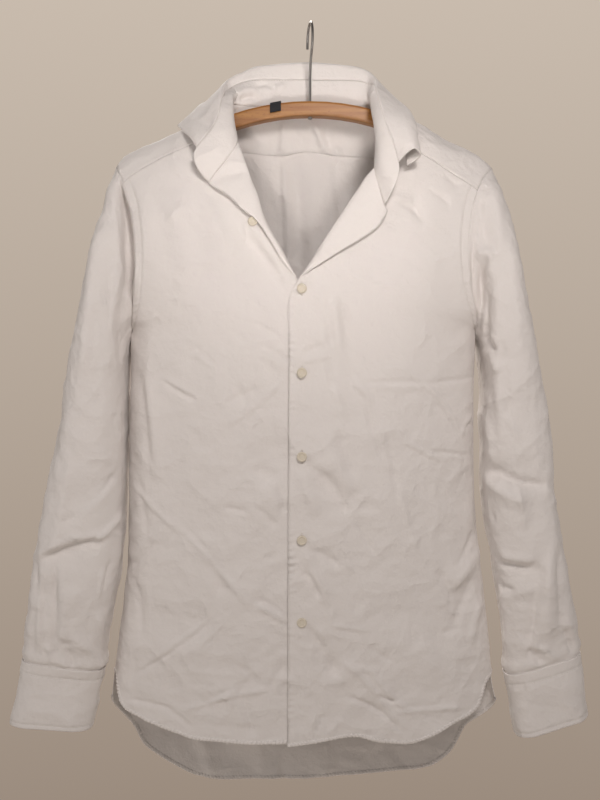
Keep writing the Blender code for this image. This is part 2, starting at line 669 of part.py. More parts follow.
def back_seam_z(x):
    return eased(column(BACK_SEAM, "x"), column(BACK_SEAM, "z"), x)


def back_panel(columns, upper_rows, lower_rows):
    part = np.linspace(-1, 1, columns + 1)
    rows = []
    for share in np.linspace(0, 1, upper_rows + 1):
        ends = {}
        for side in ("right", "left"):
            x = back_seam_end(side)[0]
            for _ in range(6):
                z = blend(back_seam_z(x), UNDERARM_Z, share)
                x = float(armhole_x(side, z))
            ends[side] = (x, float(z))
        z_end = np.where(part < 0, ends["right"][1], ends["left"][1])
        middle, half = body_middle_and_half(z_end)
        start = math.asin(max((ends["right"][0] - middle[0]) / half[0], -1.0))
        end = math.asin(min((ends["left"][0] - middle[-1]) / half[-1], 1.0))
        x = middle + half * np.sin(blend(start, end, (part + 1) / 2))
        z = blend(back_seam_z(x), UNDERARM_Z, share)
        if share == 0:
            z = z - SEAM_GAP * 1.5
        rows.append(np.stack([x, back_surface(x, z), z], axis=-1))
    right_hem = eased(column(HEM, "across"), column(HEM, "back_right"), np.abs(part))
    left_hem = eased(column(HEM, "across"), column(HEM, "back_left"), np.abs(part))
    hem = np.where(part < 0, right_hem, left_hem)
    for share in np.linspace(0, 1, lower_rows + 1)[1:]:
        z = blend(UNDERARM_Z, hem, share)
        middle, half = body_middle_and_half(z)
        x = middle + half * np.sin(part * math.pi / 2)
        rows.append(np.stack([x, back_surface(x, z), z], axis=-1))
    return np.array(rows)


YOKE_ARM_RAYS = 6
YOKE_NECK_ROWS = {"right": (4, 7.5), "left": (16, 12.5)}
YOKE_FRONT_BOW = {"right": 0.001, "left": 0.0035}
YOKE_BOW_DEPTH = 0.030


def armhole_turn_at(side, z):
    end_z = SHOULDER_END[side][1]
    return math.acos((z - (end_z + UNDERARM_Z) / 2) / ((end_z - UNDERARM_Z) / 2))


def back_seam_end(side):
    """Where the back yoke seam meets the armhole."""
    x = SHOULDER_END[side][0]
    for _ in range(6):
        z = float(back_seam_z(x))
        x = float(armhole_x(side, z))
    return x, z


def yoke_arm(side):
    """Ray ends over one shoulder, from the front seam to the back seam."""
    folds = RIGHT_FOLDS if side == "right" else LEFT_FOLDS
    front_turn = armhole_turn_at(side, folds[0].side_z)
    back_turn = -armhole_turn_at(side, back_seam_end(side)[1])
    ring = armhole_ring(side, np.linspace(front_turn, back_turn, YOKE_ARM_RAYS + 1))
    return ring, np.linspace(*YOKE_NECK_ROWS[side], YOKE_ARM_RAYS + 1)


def yoke_outline(back_rays):
    """Outer ends of the yoke's rays and their places along the neck seam."""
    right, right_rows = yoke_arm("right")
    left, left_rows = yoke_arm("left")
    x = np.linspace(right[-1][0], left[-1][0], back_rays + 1)[1:-1]
    z = back_seam_z(x)
    middle = np.stack([x, back_y(x, z), z], axis=-1)
    middle_rows = np.linspace(right_rows[-1], left_rows[-1], back_rays + 1)[1:-1]
    outer = np.concatenate([right, middle, left[::-1]])
    return outer, np.concatenate([right_rows, middle_rows, left_rows[::-1]])


def yoke_rays(outer, rows, part):
    inner = neck_seam(rows)
    part = np.asarray(part)[:, None]
    x = blend(inner[:, 0], outer[:, 0], part)
    y = blend(inner[:, 1], outer[:, 1], part)
    bow = np.where(outer[:, 0] < 0, YOKE_FRONT_BOW["right"], YOKE_FRONT_BOW["left"])
    y = y - bow * ease_step(-outer[:, 1], 0, YOKE_BOW_DEPTH) * 4 * part * (1 - part)
    z = shoulder_z(x, y)
    z = z + (inner[:, 2] - z[0]) * (1 - part) ** 2
    z = z + (outer[:, 2] - z[-1]) * part ** 2
    return np.stack([x, y, z], axis=-1)


def yoke_front_edge(side, part):
    ring, rows = yoke_arm(side)
    return yoke_rays(ring[:1], rows[:1], part)[:, 0]


def yoke_panel(back_rays, along):
    outer, rows = yoke_outline(back_rays)
    return yoke_rays(outer, rows, np.linspace(0, 1, along + 1))


def sleeve_ring(table, row, turn):
    """Ring at a place along a sleeve: turn 0 at its outer edge, a quarter in front."""
    knots = np.arange(len(table))
    values = {name: eased(knots, column(table, name), row) for name in Sleeve._fields}
    power = 2 / SLEEVE_ROUNDNESS
    side = np.sign(np.cos(turn)) * np.abs(np.cos(turn)) ** power
    front = np.sign(np.sin(turn)) * np.abs(np.sin(turn)) ** power
    x = (values["outer_x"] + values["inner_x"]) / 2
    x = x + (values["outer_x"] - values["inner_x"]) / 2 * side
    z = (values["outer_z"] + values["inner_z"]) / 2
    z = z + (values["outer_z"] - values["inner_z"]) / 2 * side
    y = values["middle_y"] - values["half_depth"] * front
    return np.stack([x, y, z], axis=-1)


def sleeve_tube(side, around, rows):
    table = LEFT_SLEEVE if side == "left" else RIGHT_SLEEVE
    waves = LEFT_SLEEVE_WAVES if side == "left" else RIGHT_SLEEVE_WAVES
    sign = 1 if side == "left" else -1
    turn = np.linspace(0, 2 * math.pi, around, endpoint=False)
    head = armhole_ring(side, turn) - sleeve_ring(table, 0, turn)
    rings = []
    for row in np.linspace(0, len(table) - 1, rows + 1):
        fade = max(1 - row / SLEEVE_HEAD_ROWS, 0) ** 2
        ring = sleeve_ring(table, row, turn) + head * fade
        ring[:, 0] += sign * SEAM_GAP * 3 * fade
        facing = np.sin(turn)
        before = wave_height(waves, ring[:, 0], ring[:, 2]) * ease_step(facing, 0.1, 0.6)
        behind = wave_height(BEHIND_SLEEVE_WAVES, ring[:, 0], ring[:, 2]) * ease_step(-facing, 0.1, 0.6)
        ring[:, 1] += behind - before
        rings.append(ring)
    return np.array(rings)


def cuff_band(side, around, rows):
    """Band with its ends lapped at the back, the outer end lifted off the inner one."""
    table = LEFT_CUFF if side == "left" else RIGHT_CUFF
    start = math.radians(CUFF_START_DEGREES - CUFF_LAP_DEGREES / 2)
    length = math.radians(360 + CUFF_LAP_DEGREES)
    part = np.linspace(0, 1, around + 1)
    turn = start + length * part
    lap = math.radians(CUFF_LAP_DEGREES) / length
    lift = CUFF_LAP_LIFT * ease_step(part, 1 - 1.8 * lap, 1 - lap)
    bands = []
    for row in np.linspace(0, 1, rows + 1):
        ring = sleeve_ring(table, row, turn)
        middle = (sleeve_ring(table, row, 0.0) + sleeve_ring(table, row, math.pi)) / 2
        bands.append(ring + unit(ring - middle) * lift[:, None])
    return np.array(bands)


def label_strip():
    """Tab from the neck seam, over the bar's top and down its front."""
    top = BAR_TOP_Z - bar_drop(LABEL_X)
    x = LABEL_X + LABEL_WIDTH * np.array([-0.5, 0.0, 0.5])
    rows = []
    for spot in LABEL_PATH:
        z = top + spot.rise + LABEL_SLANT * (x - LABEL_X)
        rows.append(np.stack([x, np.full(3, spot.y), z], axis=-1))
    return np.array(rows)


# Making the objects

def clear_scene():
    for thing in list(bpy.data.objects):
        bpy.data.objects.remove(thing, do_unlink=True)


def make_collection(name):
    collection = bpy.data.collections.new(name)
    bpy.context.scene.collection.children.link(collection)
    return collection


def make_material(name, color, roughness, metallic=0.0):
    material = bpy.data.materials.new(name)
    material.use_nodes = True
    shader = material.node_tree.nodes["Principled BSDF"]
    shader.inputs["Base Color"].default_value = (*color, 1.0)
    shader.inputs["Roughness"].default_value = roughness
    shader.inputs["Metallic"].default_value = metallic
    material.diffuse_color = (*color, 1.0)
    return material


def grid_mesh(name, patches, closed=False):
    """Mesh of one or more grids of points, whose shared points are joined."""
    mesh_maker = bmesh.new()
    for grid in patches:
        rows, columns = grid.shape[:2]
        points = [[mesh_maker.verts.new(point) for point in row] for row in grid.tolist()]
        last = columns if closed else columns - 1
        for row in range(rows - 1):
            for number in range(last):
                following = (number + 1) % columns
                corners = [points[row][number], points[row + 1][number]]
                corners += [points[row + 1][following], points[row][following]]
                mesh_maker.faces.new(corners)
    bmesh.ops.remove_doubles(mesh_maker, verts=mesh_maker.verts, dist=0.00002)
    bmesh.ops.recalc_face_normals(mesh_maker, faces=mesh_maker.faces)
    mesh = bpy.data.meshes.new(name)
    mesh_maker.to_mesh(mesh)
    mesh_maker.free()
    return mesh


def add_object(name, mesh, material, collection):
    thing = bpy.data.objects.new(name, mesh)
    mesh.materials.append(material)
    collection.objects.link(thing)
    return thing


def add_cloth(name, patches, thickness, material, collection, closed=False):
    mesh = grid_mesh(name, patches, closed)
    mesh.shade_smooth()
    thing = add_object(name, mesh, material, collection)
    wall = thing.modifiers.new("Wall", "SOLIDIFY")
    wall.thickness = thickness
    wall.offset = 0.0
    return thing


def button_mesh(name):
    """Turned button: a raised rim round a shallow dish, and a plain back."""
    points = [(BUTTON_RADIUS * spot.radius, 0.0, BUTTON_HEIGHT * spot.height) for spot in BUTTON_PROFILE]
    mesh = bpy.data.meshes.new(name)
    edges = [(n, n + 1) for n in range(len(points) - 1)]
    mesh.from_pydata(points, edges, [])
    return mesh


def add_turned(name, mesh, steps, material, collection):
    thing = add_object(name, mesh, material, collection)
    screw = thing.modifiers.new("Turn", "SCREW")
    screw.steps = steps
    screw.render_steps = steps
    screw.use_merge_vertices = True
    screw.merge_threshold = 0.00005
    return thing


def add_button(name, place, normal, material, collection):
    thing = add_turned(name, button_mesh(name), 14, material, collection)
    normal = Vector(normal).normalized()
    thing.rotation_euler = normal.to_track_quat("Z", "Y").to_euler()
    thing.location = Vector(place) + normal * (CLOTH / 2 + BUTTON_GAP)
    return thing


def front_normal(side, x, z):
    nudge = 0.004
    slope_x = (front_surface(side, x + nudge, z) - front_surface(side, x - nudge, z)) / (2 * nudge)
    slope_z = (front_surface(side, x, z + nudge) - front_surface(side, x, z - nudge)) / (2 * nudge)
    return Vector((float(slope_x), -1.0, float(slope_z))).normalized()


def front_place(side, x, z):
    return Vector((x, float(front_surface(side, np.array(x), np.array(z))), z))


def bar_drop(x):
    return BAR_ARC_RADIUS - math.sqrt(BAR_ARC_RADIUS ** 2 - x ** 2)


def bar_outline():
    """Arc-shaped bar seen from the front, with rounded ends."""
    center_z = BAR_TOP_Z - BAR_ARC_RADIUS
    reach = math.asin(BAR_HALF_SPAN / BAR_ARC_RADIUS)
    angles = np.linspace(-reach, reach, 25)
    inner = BAR_ARC_RADIUS - BAR_HEIGHT
    middle = BAR_ARC_RADIUS - BAR_HEIGHT / 2
    points = [(BAR_ARC_RADIUS * math.sin(a), center_z + BAR_ARC_RADIUS * math.cos(a)) for a in angles]
    for end, around in ((reach, (60, 90, 120)), (-reach, (-120, -90, -60))):
        if end < 0:
            points += [(inner * math.sin(a), center_z + inner * math.cos(a)) for a in angles[::-1]]
        for degrees in around:
            turn = math.radians(degrees)
            out = BAR_HEIGHT / 2 * math.sin(turn)
            up = BAR_HEIGHT / 2 * math.cos(turn)
            x = (middle + up) * math.sin(end) + out * math.cos(end)
            z = center_z + (middle + up) * math.cos(end) - out * math.sin(end)
            points.append((x, z))
    return points


def add_bar(material, collection, cutters):
    curve = bpy.data.curves.new("hanger_bar", "CURVE")
    curve.dimensions = "2D"
    curve.fill_mode = "BOTH"
    curve.extrude = BAR_DEPTH / 2
    outline = bar_outline()
    spline = curve.splines.new("POLY")
    spline.points.add(len(outline) - 1)
    for point, (x, z) in zip(spline.points, outline):
        point.co = (x, z, 0.0, 1.0)
    spline.use_cyclic_u = True
    shape = bpy.data.objects.new("bar_outline", curve)
    collection.objects.link(shape)
    shape.rotation_euler = (math.pi / 2, 0.0, 0.0)
    bpy.context.view_layer.update()
    evaluated = shape.evaluated_get(bpy.context.evaluated_depsgraph_get())
    mesh = bpy.data.meshes.new_from_object(evaluated)
    welded = bmesh.new()
    welded.from_mesh(mesh)
    bmesh.ops.remove_doubles(welded, verts=welded.verts, dist=0.00001)
    flat = [edge for edge in welded.edges if edge.calc_face_angle(0.0) < 0.001]
    bmesh.ops.dissolve_edges(welded, edges=flat)
    welded.to_mesh(mesh)
    welded.free()
    thing = add_object("hanger_bar", mesh, material, collection)
    thing.matrix_world = shape.matrix_world.copy()
    bpy.data.objects.remove(shape, do_unlink=True)
    rounding = thing.modifiers.new("Rounding", "BEVEL")
    rounding.width = BAR_ROUNDING
    rounding.segments = 2
    rounding.limit_method = "ANGLE"
    rounding.angle_limit = math.radians(50)
    bpy.ops.mesh.primitive_cylinder_add(vertices=16, radius=BORE_RADIUS, depth=BAR_HEIGHT * 2)
    cutter = bpy.context.object
    cutter.name = "bore_cutter"
    cutter.location = (0.0, 0.0, BAR_TOP_Z - BAR_HEIGHT / 2)
    for holder in list(cutter.users_collection):
        holder.objects.unlink(cutter)
    cutters.objects.link(cutter)
    cutter.hide_render = True
    cutter.display_type = "WIRE"
    bore = thing.modifiers.new("Bore", "BOOLEAN")
    bore.operation = "DIFFERENCE"
    bore.object = cutter
    return thing


def hook_path():
    """Centre line: free end behind, over the top, down the front and into the stem."""
    top = WIRE_RADIUS
    center_z = top - HOOK_RADIUS
    points = [(HOOK_RADIUS, center_z - HOOK_END_DROP)]
    lower = math.radians(HOOK_LOWER_DEGREES)
    for angle in np.linspace(0, lower, 19):
        points.append((HOOK_RADIUS * math.cos(angle), center_z + HOOK_RADIUS * math.sin(angle)))
    turn = lower - math.pi
    neck_radius = HOOK_RADIUS * math.cos(turn) / (1 - math.cos(turn))
    neck_z = center_z - HOOK_RADIUS * math.sin(turn) - neck_radius * math.sin(turn)
    for angle in np.linspace(turn, 0, 6)[1:]:
        points.append((-neck_radius * (1 - math.cos(angle)), neck_z + neck_radius * math.sin(angle)))
    bottom = BAR_TOP_Z - BAR_HEIGHT - 0.0002
    points.append((0.0, (neck_z + bottom) / 2))
    points.append((0.0, bottom))
    return points


def add_hook(material, collection):
    curve = bpy.data.curves.new("hook", "CURVE")
    curve.dimensions = "3D"
    curve.bevel_depth = WIRE_RADIUS
    curve.bevel_resolution = 2
    curve.use_fill_caps = True
    path = hook_path()
    spline = curve.splines.new("POLY")
    spline.points.add(len(path) - 1)
    for point, (y, z) in zip(spline.points, path):
        point.co = (0.0, y, z, 1.0)
    thing = bpy.data.objects.new("hook", curve)
    curve.materials.append(material)
    collection.objects.link(thing)
    thing.rotation_euler = (0.0, 0.0, math.radians(HOOK_TURN_DEGREES))
    return thing


def add_nut(material, collection):
    top = BAR_TOP_Z - BAR_HEIGHT - 0.0006
    profile = [(0.0, top), (NUT_RADIUS, top), (NUT_RADIUS, top - NUT_HEIGHT * 0.6)]
    profile += [(NUT_RADIUS * 0.7, top - NUT_HEIGHT * 0.92), (0.0, top - NUT_HEIGHT)]
    mesh = bpy.data.meshes.new("hook_nut")
    edges = [(n, n + 1) for n in range(len(profile) - 1)]
    mesh.from_pydata([(r, 0.0, z) for r, z in profile], edges, [])
    return add_turned("hook_nut", mesh, 12, material, collection)


def add_front(side, material, collection):
    panel = front_panel(side, 15, 16)
    turned = lapel(side, panel, 5)
    add_cloth("front_" + side, [panel, turned], CLOTH, material, collection)


def add_buttons(material, collection):
    for number in range(FASTENED_BUTTONS):
        z = FIRST_BUTTON_Z - BUTTON_SPACING * number
        place = front_place("left", BUTTON_X, z)
        normal = front_normal("left", BUTTON_X, z)
        add_button(f"button_{number + 1}", place, normal, material, collection)
    x, z = OPEN_BUTTON
    place = front_place("right", x, z)
    add_button("button_open", place, front_normal("right", x, z), material, collection)


def add_cuff_button(side, material, collection):
    table = LEFT_CUFF if side == "left" else RIGHT_CUFF
    turn = math.radians(CUFF_START_DEGREES)
    place = sleeve_ring(table, 0.5, turn)
    middle = (sleeve_ring(table, 0.5, 0.0) + sleeve_ring(table, 0.5, math.pi)) / 2
    ahead = sleeve_ring(table, 0.5, turn + 0.1) - sleeve_ring(table, 0.5, turn - 0.1)
    down = sleeve_ring(table, 0.9, turn) - sleeve_ring(table, 0.1, turn)
    normal = unit(np.cross(ahead, down))
    if np.dot(normal, place - middle) < 0:
        normal = -normal
    outward = unit(place - middle) * CUFF_LAP_LIFT + normal * (STIFF_CLOTH - CLOTH) / 2
    add_button("button_cuff_" + side, place + outward, normal, material, collection)


def build():
    clear_scene()
    shirt = make_collection("shirt_on_hanger")
    cutters = make_collection("cutters")
    cotton = make_material("cotton", (0.80, 0.77, 0.74), 0.85)
    ivory = make_material("ivory_plastic", (0.82, 0.77, 0.68), 0.30)
    tab = make_material("label_cloth", (0.010, 0.010, 0.014), 0.70)
    wood = make_material("beech", (0.46, 0.23, 0.085), 0.50)
    steel = make_material("steel", (0.50, 0.49, 0.48), 0.25, 1.0)
    add_front("left", cotton, shirt)
    add_front("right", cotton, shirt)
    add_cloth("back", [back_panel(24, 5, 13)], CLOTH, cotton, shirt)
    add_cloth("yoke", [yoke_panel(22, 6)], CLOTH, cotton, shirt)
    for side in ("left", "right"):
        add_cloth("sleeve_" + side, [sleeve_tube(side, 22, 20)], CLOTH, cotton, shirt, closed=True)
        add_cloth("cuff_" + side, [cuff_band(side, 30, 2)], STIFF_CLOTH, cotton, shirt)
        add_cuff_button(side, ivory, shirt)
    add_cloth("collar_stand", [stand_rows(40, 4)], STIFF_CLOTH, cotton, shirt)
    add_cloth("collar_leaf", [leaf_rows(40, 9)], STIFF_CLOTH, cotton, shirt)
    add_cloth("label", [label_strip()], LABEL_CLOTH, tab, shirt)
    add_buttons(ivory, shirt)
    add_bar(wood, shirt, cutters)
    add_hook(steel, shirt)
    add_nut(steel, shirt)


build()
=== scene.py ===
"""Looks of the button-down shirt: creased cotton shells, sewing, materials, floor, light and camera.

Metres, +Z up, in the frame of the CAD part. Each cloth shell is worked out from the same
tables as its CAD solid, on a finer grid, and then creased.
"""

import math
from collections import namedtuple

import bmesh
import bpy
import numpy as np
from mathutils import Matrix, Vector


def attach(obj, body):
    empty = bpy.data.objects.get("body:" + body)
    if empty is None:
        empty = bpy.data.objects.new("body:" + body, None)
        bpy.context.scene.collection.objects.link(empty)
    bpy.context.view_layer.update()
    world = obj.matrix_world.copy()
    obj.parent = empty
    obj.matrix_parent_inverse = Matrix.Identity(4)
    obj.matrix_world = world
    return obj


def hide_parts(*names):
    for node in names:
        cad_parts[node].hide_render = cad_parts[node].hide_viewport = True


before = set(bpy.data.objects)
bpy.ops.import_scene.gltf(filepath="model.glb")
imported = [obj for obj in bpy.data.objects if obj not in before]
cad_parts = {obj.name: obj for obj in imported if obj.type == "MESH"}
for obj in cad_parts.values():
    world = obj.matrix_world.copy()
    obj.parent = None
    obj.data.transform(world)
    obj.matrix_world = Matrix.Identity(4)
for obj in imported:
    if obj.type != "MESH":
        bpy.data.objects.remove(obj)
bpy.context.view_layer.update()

# Body: the outline from the front and the depth of the front and back at each level.
Level = namedtuple("Level", "z right left front back")
BODY = [
    Level(-0.080, -0.272, 0.258, 0.072, 0.060),
    Level(-0.270, -0.264, 0.250, 0.072, 0.060),
    Level(-0.320, -0.232, 0.220, 0.072, 0.060),
    Level(-0.360, -0.204, 0.189, 0.072, 0.060),
    Level(-0.455, -0.206, 0.187, 0.070, 0.058),
    Level(-0.540, -0.207, 0.188, 0.066, 0.056),
    Level(-0.600, -0.208, 0.193, 0.062, 0.053),
    Level(-0.660, -0.213, 0.200, 0.058, 0.050),
    Level(-0.720, -0.221, 0.206, 0.054, 0.048),
    Level(-0.750, -0.225, 0.208, 0.052, 0.047),
    Level(-0.800, -0.229, 0.217, 0.050, 0.046),
    Level(-0.890, -0.229, 0.218, 0.050, 0.046),
]
UNDERARM_Z = -0.360
ROUNDNESS = 2.4
FRONT_SHOULDER_ROUNDNESS = 2.4
BACK_SHOULDER_ROUNDNESS = 1.8
RIM_SHARE = 0.999

# Least depth and least length that something is divided by.
THIN = 1e-6
TINY = 1e-12

# Top line of the shoulders, where the cloth turns over the hanger.
Ridge = namedtuple("Ridge", "x z")
SHOULDER = [
    Ridge(-0.240, -0.200),
    Ridge(-0.2215, -0.1660),
    Ridge(-0.2115, -0.1530),
    Ridge(-0.1800, -0.1370),
    Ridge(-0.1495, -0.1230),
    Ridge(-0.1100, -0.1065),
    Ridge(-0.0600, -0.0900),
    Ridge(0.0000, -0.0850),
    Ridge(0.0600, -0.0900),
    Ridge(0.1127, -0.1070),
    Ridge(0.1600, -0.1345),
    Ridge(0.1898, -0.1510),
    Ridge(0.2087, -0.1680),
    Ridge(0.2300, -0.2000),
]

# Armhole seam: how far out it lies at each level.
Armhole = namedtuple("Armhole", "z right left")
ARMHOLE = [
    Armhole(-0.1660, -0.2215, 0.2087),
    Armhole(-0.1880, -0.2097, 0.1910),
    Armhole(-0.2280, -0.1963, 0.1768),
    Armhole(-0.2700, -0.1918, 0.1729),
    Armhole(-0.3040, -0.1935, 0.1756),
    Armhole(-0.3400, -0.1980, 0.1850),
    Armhole(-0.3600, -0.2040, 0.1890),
]
SHOULDER_END = {"right": (-0.2215, -0.1660), "left": (0.2087, -0.1680)}
SETTLING_STEPS = 6

# Seam between the yoke and the back.
BACK_SEAM = [
    Ridge(-0.2100, -0.2130),
    Ridge(-0.1300, -0.1620),
    Ridge(-0.0790, -0.1405),
    Ridge(-0.0350, -0.1436),
    Ridge(-0.0040, -0.1388),
    Ridge(0.0300, -0.1430),
    Ridge(0.0750, -0.1455),
    Ridge(0.1300, -0.1640),
    Ridge(0.2100, -0.2130),
]

# Hems, from the middle or the closing edge of each panel (0) to the side seam (1).
Hem = namedtuple("Hem", "across front_right front_left back_right back_left")
HEM = [
    Hem(0.00, -0.810, -0.813, -0.884, -0.884),
    Hem(0.06, -0.810, -0.810, -0.884, -0.882),
    Hem(0.20, -0.811, -0.803, -0.884, -0.878),
    Hem(0.29, -0.809, -0.810, -0.884, -0.875),
    Hem(0.38, -0.807, -0.812, -0.879, -0.872),
    Hem(0.46, -0.801, -0.805, -0.868, -0.866),
    Hem(0.55, -0.794, -0.793, -0.853, -0.849),
    Hem(0.64, -0.787, -0.784, -0.837, -0.815),
    Hem(0.70, -0.783, -0.777, -0.815, -0.806),
    Hem(0.79, -0.773, -0.756, -0.798, -0.796),
    Hem(0.90, -0.745, -0.745, -0.784, -0.785),
    Hem(1.00, -0.742, -0.742, -0.774, -0.776),
]

# Open edge of each front, from the neck down: the line where it turns out, the free edge
# of the turned part and how far that stands off the front, and the armhole or side level.
# A row on the neck seam has the collar table's row that it meets.
Fold = namedtuple("Fold", "x z edge_x edge_z stand_off side_z seam")
FOLDS = {
    "left": [
        Fold(0.0735, -0.1360, None, None, 0.0, -0.199, 16),
        Fold(0.0718, -0.1580, None, None, 0.0, -0.210, 16.55),
        Fold(0.0700, -0.1780, None, None, 0.0, -0.220, 17),
        Fold(0.0604, -0.1887, 0.0752, -0.2009, 0.0050, -0.231, 18),
        Fold(0.0516, -0.2022, 0.0795, -0.2205, 0.0060, -0.243, 19),
        Fold(0.0428, -0.2157, 0.0828, -0.2296, 0.0065, -0.257, None),
        Fold(0.0330, -0.2311, 0.0712, -0.2461, 0.0065, -0.272, None),
        Fold(0.0221, -0.2477, 0.0532, -0.2588, 0.0060, -0.288, None),
        Fold(0.0102, -0.2661, 0.0330, -0.2708, 0.0055, -0.304, None),
        Fold(-0.0018, -0.2856, 0.0062, -0.2883, 0.0040, -0.322, None),
        Fold(-0.0126, -0.3008, None, None, 0.0, -0.336, None),
        Fold(-0.0223, -0.3170, None, None, 0.0, -0.347, None),
        Fold(-0.0236, -0.3600, None, None, 0.0, -0.360, None),
    ],
    "right": [
        Fold(-0.0832, -0.1327, None, None, 0.0, -0.190, 4),
        Fold(-0.0804, -0.1464, None, None, 0.0, -0.203, 3),
        Fold(-0.0755, -0.1594, -0.0837, -0.1572, 0.0040, -0.214, 2),
        Fold(-0.0721, -0.1698, -0.0969, -0.1761, 0.0055, -0.225, 1),
        Fold(-0.0682, -0.1811, -0.1107, -0.1940, 0.0060, -0.237, 0),
        Fold(-0.0648, -0.1914, -0.1048, -0.2002, 0.0060, -0.248, None),
        Fold(-0.0582, -0.2070, -0.0894, -0.2100, 0.0060, -0.262, None),
        Fold(-0.0516, -0.2302, -0.0752, -0.2244, 0.0060, -0.278, None),
        Fold(-0.0418, -0.2509, -0.0590, -0.2374, 0.0055, -0.294, None),
        Fold(-0.0310, -0.2693, -0.0439, -0.2590, 0.0045, -0.310, None),
        Fold(-0.0223, -0.2867, -0.0299, -0.2828, 0.0030, -0.325, None),
        Fold(-0.0150, -0.3010, None, None, 0.0, -0.338, None),
        Fold(0.0040, -0.3180, None, None, 0.0, -0.348, None),
        Fold(0.0070, -0.3600, None, None, 0.0, -0.360, None),
    ],
}
CLOSING_EDGE_X = {"left": -0.0252, "right": 0.0070}
SIDE_SIGN = {"left": 1, "right": -1}
OVERLAP_LIFT = 0.0026
OVERLAP_FADE = (0.010, 0.055)
NECK_PULL_POWER = 3
LAPEL_CROWDING = 1.3
LAPEL_SWEEP = 1.5
LAPEL_LIFT_POWER = 3

# The collar's section at each place along the neck seam, from the wearer's right front,
# round the back, to the left front: the seam, how far the stand bows inward and its crest,
# where the leaf is sewn on.
Collar = namedtuple("Collar", "x y z bow crest_x crest_y crest_z")
COLLAR = [
    Collar(-.1107, -.0600, -.1940, .002, -.1376, -.0630, -.1733),
    Collar(-.0969, -.0600, -.1761, .003, -.1240, -.0605, -.1555),
    Collar(-.0837, -.0555, -.1572, .004, -.1098, -.0540, -.1359),
    Collar(-.0804, -.0475, -.1464, .005, -.1031, -.0470, -.1216),
    Collar(-.0832, -.0380, -.1327, .006, -.1010, -.0370, -.1060),
    Collar(-.0869, -.0240, -.1143, .007, -.0996, -.0210, -.0915),
    Collar(-.0896, -.0100, -.0978, .008, -.0985, -.0020, -.0800),
    Collar(-.0890, .0020, -.0908, .007, -.0925, .0110, -.0700),
    Collar(-.0753, .0100, -.0908, .004, -.0792, .0170, -.0615),
    Collar(-.0557, .0130, -.0910, .002, -.0575, .0170, -.0580),
    Collar(.0000, .0140, -.0907, .001, .0000, .0165, -.0585),
    Collar(.0500, .0130, -.0910, .001, .0495, .0165, -.0590),
    Collar(.0670, .0090, -.0910, .003, .0670, .0120, -.0640),
    Collar(.0760, .0000, -.0930, .009, .0735, -.0140, -.0735),
    Collar(.0770, -.0120, -.1010, .009, .0750, -.0360, -.0905),
    Collar(.0755, -.0250, -.1150, .009, .0778, -.0520, -.1095),
    Collar(.0735, -.0400, -.1360, .008, .0828, -.0660, -.1326),
    Collar(.0700, -.0590, -.1780, .004, .0886, -.0740, -.1531),
    Collar(.0742, -.0650, -.1990, .003, .0943, -.0780, -.1756),
    Collar(.0795, -.0700, -.2205, .002, .1010, -.0820, -.1965),
]

# At the same places: the top of the leaf's roll, how far the roll is pushed out and the
# leaf's outer edge.
Leaf = namedtuple("Leaf", "top_x top_y top_z roll edge_x edge_y edge_z")
LEAF = [
    Leaf(-.1500, -.0400, -.1550, .000, -.1590, -.0170, -.1290),
    Leaf(-.1330, -.0400, -.1335, .000, -.1440, -.0100, -.1125),
    Leaf(-.1235, -.0300, -.1170, .000, -.1345, -.0040, -.1015),
    Leaf(-.1160, -.0220, -.1010, .002, -.1265, .0040, -.0905),
    Leaf(-.1100, -.0120, -.0850, .004, -.1215, .0140, -.0860),
    Leaf(-.1040, .0020, -.0725, .006, -.1200, .0260, -.0900),
    Leaf(-.0975, .0140, -.0610, .007, -.1160, .0380, -.0930),
    Leaf(-.0890, .0200, -.0535, .007, -.1060, .0450, -.0900),
    Leaf(-.0775, .0230, -.0470, .006, -.0880, .0450, -.0860),
    Leaf(-.0590, .0230, -.0405, .005, -.0610, .0400, -.0830),
    Leaf(.0000, .0210, -.0372, .004, .0000, .0360, -.0820),
    Leaf(.0490, .0220, -.0405, .005, .0530, .0400, -.0830),
    Leaf(.0670, .0190, -.0470, .006, .0780, .0380, -.0850),
    Leaf(.0790, .0040, -.0640, .007, .0950, .0300, -.0930),
    Leaf(.0900, -.0150, -.0850, .007, .1040, .0120, -.0965),
    Leaf(.0990, -.0340, -.1040, .007, .1100, -.0060, -.1015),
    Leaf(.1050, -.0560, -.1220, .008, .1120, -.0380, -.1310),
    Leaf(.1070, -.0720, -.1385, .009, .1060, -.0550, -.1560),
    Leaf(.1110, -.0800, -.1590, .009, .1040, -.0630, -.1700),
    Leaf(.1150, -.0840, -.1760, .008, .1060, -.0680, -.1860),
]
SEAM_SAMPLES = 400
ROW_NUDGE = 0.05
ROLL_SIDE = 0.3
PATH_SAMPLES = 12
STAND_END_ROUND = 0.022
STAND_PATH_STEPS = 60
LEAF_PATH_STEPS = 4
POINT_SPREAD = 0.010

YOKE_ARM_RAYS = 40
YOKE_NECK_ROWS = {"right": (4, 7.5), "left": (16, 12.5)}
YOKE_FRONT_BOW = {"right": 0.001, "left": 0.0035}
YOKE_BOW_DEPTH = 0.030

